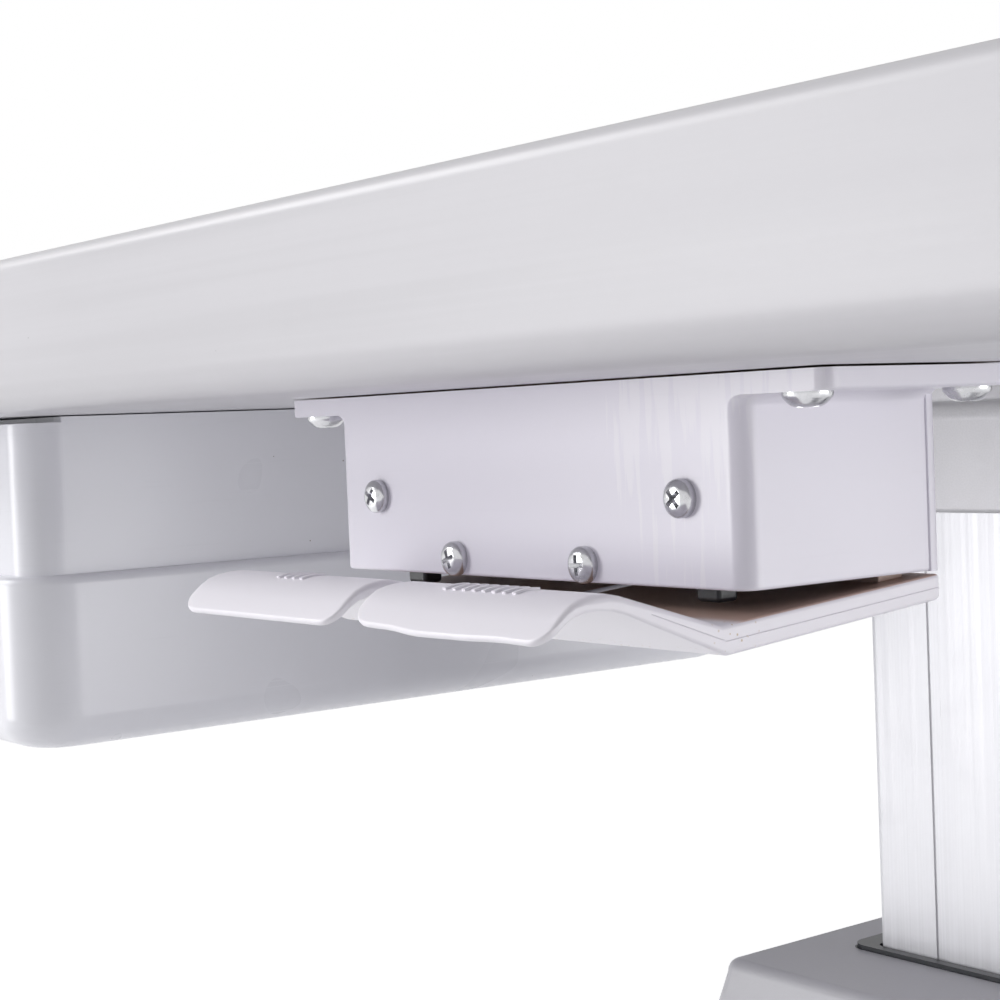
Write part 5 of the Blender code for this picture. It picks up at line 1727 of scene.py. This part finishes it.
    def brake(self) -> BMesh:
        """Foot brake: a ribbed pedal on trunnions, with a shoe under it."""
        low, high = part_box(f"{self.label}_castor_brake")
        way = math.copysign(1.0, self.axle.y)
        half = (high.x - low.x) / 2 - self.pedal_side
        heel = low.y if way > 0 else high.y
        toe = high.y if way > 0 else low.y
        pivot = heel + way * self.pivot_radius
        top = low.z + self.shoe_radius + self.pedal_thickness
        bottom = top - self.pedal_thickness
        side = outline([(y, z, self.pedal_corner)
                        for y, z in ((heel, bottom), (toe, bottom), (toe, top), (heel, top))])
        x = self.axle.x
        pedal = rounded_prism(side, Axis.X, (x - half, x + half), (self.pedal_edge, self.pedal_edge))
        middle = (top + bottom) / 2
        reach = (high.x - low.x) / 2
        pins = turned([(0.0, -reach), (self.pivot_radius, -reach), (self.pivot_radius, reach), (0.0, reach)],
                      (x, pivot, middle), (1, 0, 0))
        pedal = fused(pedal, pins, Fusion.JOIN)
        wide = self.shoe_half
        shoe = turned([(0.0, -wide), (self.shoe_radius, -wide), (self.shoe_radius, wide), (0.0, wide)],
                      (x, pivot + way * self.shoe_ahead, bottom), (1, 0, 0))
        pedal = fused(pedal, shoe, Fusion.JOIN)
        ends = (x - self.rib_share * half, x + self.rib_share * half)
        root, crest = top - self.rib_root, top + self.rib_rise
        ribs = []
        for number in range(self.tread_ribs):
            place = toe - way * (self.rib_pitch + self.rib_pitch * number)
            back, front = place - self.rib_half, place + self.rib_half
            section = outline([(back, root, 0.0), (front, root, 0.0), (front, crest, self.rib_bend),
                               (back, crest, self.rib_bend)])
            ribs.append(rounded_prism(section, Axis.X, ends, (self.rib_edge, self.rib_edge)))
        return fused(pedal, gathered(ribs), Fusion.JOIN)


# Studio


@dataclass(frozen=True)
class SoftBox:
    """Wide soft light that looks at the switch box."""

    name: str
    place: tuple[float, float, float]
    width: float
    height: float
    power: float

    def build(self, target: Vector) -> None:
        """Hang the light and aim it.

        Args:
            target: point that it looks at.
        """
        light = bpy.data.lights.new(self.name, "AREA")
        light.shape = "RECTANGLE"
        light.size = self.width
        light.size_y = self.height
        light.energy = self.power
        lamp = bpy.data.objects.new(self.name, light)
        lamp.location = self.place
        lamp.rotation_euler = (target - lamp.location).to_track_quat("-Z", "Y").to_euler()
        bpy.context.scene.collection.objects.link(lamp)


SOFT_BOXES = (
    SoftBox("front_softbox", place=(-1.7, -2.4, 0.72), width=1.0, height=1.2, power=29.5),
    SoftBox("raised_softbox", place=(-1.8, -1.6, 2.0), width=1.6, height=1.0, power=35.0),
    SoftBox("right_softbox", place=(2.5, 1.35, 0.80), width=2.2, height=1.1, power=45.0),
)


@dataclass
class Studio:
    """Pale floor, soft light, white background and the camera of the photograph."""

    floor_half: float = 30.0
    floor_colour: Colour = (0.88, 0.88, 0.89)
    floor_roughness: float = 0.9
    glow_reach: tuple[float, float] = (0.6, 3.4)
    glow_levels: tuple[float, float] = (0.46, 0.78)
    ambient: float = 0.27
    camera_place: tuple[float, float, float] = (0.245875, -0.375779, 0.68503)
    yaw: float = 52.234
    pitch: float = -2.174
    roll: float = -2.308
    lens: float = 70.506
    sensor: float = 36.0
    clip_start: float = 0.01

    def build(self) -> None:
        """Set up the floor, the world, the lights and the camera."""
        self.floor()
        self.world()
        low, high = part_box("switch_box")
        for light in SOFT_BOXES:
            light.build((low + high) / 2)
        self.camera()
        bpy.context.scene.view_settings.view_transform = "Standard"

    @staticmethod
    def background_ray(tree: bpy.types.NodeTree) -> NodeSocket:
        """Socket that is 1 for the rays that show the background.

        Args:
            tree: nodes of the floor's material or of the world.

        Returns:
            Socket for rays from the camera and those mirrored or let through on the way.
        """
        path = tree.nodes.new("ShaderNodeLightPath")
        seen = path.outputs["Is Camera Ray"]
        for kind in ("Is Glossy Ray", "Is Transmission Ray"):
            larger = tree.nodes.new("ShaderNodeMath")
            larger.operation = "MAXIMUM"
            tree.links.new(seen, larger.inputs[0])
            tree.links.new(path.outputs[kind], larger.inputs[1])
            seen = larger.outputs[0]
        return seen

    def floor(self) -> None:
        """Lay the floor, which glows more the further it is, and keeps the object's shadow."""
        bm = bmesh.new()
        bmesh.ops.create_grid(bm, x_segments=1, y_segments=1, size=self.floor_half)
        mesh = bpy.data.meshes.new("studio_floor")
        bm.to_mesh(mesh)
        bm.free()
        material = bpy.data.materials.new("studio_floor_paper")
        material.use_nodes = True
        tree = material.node_tree
        shader = tree.nodes["Principled BSDF"]
        shader.inputs["Base Color"].default_value = (*self.floor_colour, 1.0)
        shader.inputs["Roughness"].default_value = self.floor_roughness
        shader.inputs["Specular IOR Level"].default_value = 0.0
        shader.inputs["Emission Color"].default_value = (1.0, 1.0, 1.0, 1.0)
        away = tree.nodes.new("ShaderNodeVectorMath")
        away.operation = "LENGTH"
        tree.links.new(tree.nodes.new("ShaderNodeTexCoord").outputs["Object"], away.inputs[0])
        level = tree.nodes.new("ShaderNodeMapRange")
        names = ("From Min", "From Max", "To Min", "To Max")
        for name, value in zip(names, self.glow_reach + self.glow_levels):
            level.inputs[name].default_value = value
        tree.links.new(away.outputs["Value"], level.inputs["Value"])
        glow = tree.nodes.new("ShaderNodeMath")
        glow.operation = "MULTIPLY"
        tree.links.new(level.outputs[0], glow.inputs[0])
        tree.links.new(self.background_ray(tree), glow.inputs[1])
        tree.links.new(glow.outputs[0], shader.inputs["Emission Strength"])
        mesh.materials.append(material)
        floor = bpy.data.objects.new("studio_floor", mesh)
        bpy.context.scene.collection.objects.link(floor)

    def world(self) -> None:
        """White background, with a softer ambient light on the object."""
        world = bpy.data.worlds.new("studio_world")
        world.use_nodes = True
        tree = world.node_tree
        strength = tree.nodes.new("ShaderNodeMapRange")
        strength.inputs["To Min"].default_value = self.ambient
        strength.inputs["To Max"].default_value = 1.0
        tree.links.new(self.background_ray(tree), strength.inputs["Value"])
        background = tree.nodes["Background"]
        background.inputs["Color"].default_value = (1.0, 1.0, 1.0, 1.0)
        tree.links.new(strength.outputs[0], background.inputs["Strength"])
        bpy.context.scene.world = world

    def camera(self) -> None:
        """Camera low under the front edge, looking left and back."""
        yaw, pitch, roll = (math.radians(angle) for angle in (self.yaw, self.pitch, self.roll))
        ahead = Vector((-math.sin(yaw) * math.cos(pitch), math.cos(yaw) * math.cos(pitch), math.sin(pitch)))
        level = Vector((math.cos(yaw), math.sin(yaw), 0.0))
        upright = level.cross(ahead)
        right = level * math.cos(roll) + upright * math.sin(roll)
        up = upright * math.cos(roll) - level * math.sin(roll)
        camera = bpy.data.cameras.new("photo_camera")
        camera.lens = self.lens
        camera.sensor_width = self.sensor
        camera.clip_start = self.clip_start
        view = bpy.data.objects.new("photo_camera", camera)
        turn = Matrix((right, up, -ahead)).transposed().to_4x4()
        view.matrix_world = Matrix.Translation(self.camera_place) @ turn
        bpy.context.scene.collection.objects.link(view)
        bpy.context.scene.camera = view


def main() -> None:
    """Build the looks of the table, piece by piece."""
    logging.basicConfig(level=logging.INFO, format="%(name)s: %(message)s")
    assemblies = [Tabletop(), SwitchBox(),
                  RockerPaddle("down", 8, (-0.0008, -0.0005, 0.0002, 0.0001, -0.0002, 0.0)),
                  RockerPaddle("up", 4, (0.0, 0.0)), Drawer(), Column(), Pedestal(), Base()]
    assemblies += [Castor(f"{end}_{hand}", end == "front")
                   for end in ("front", "rear") for hand in ("left", "right")]
    for assembly in assemblies:
        assembly.build()
    Studio().build()


if __name__ == "__main__":
    main()
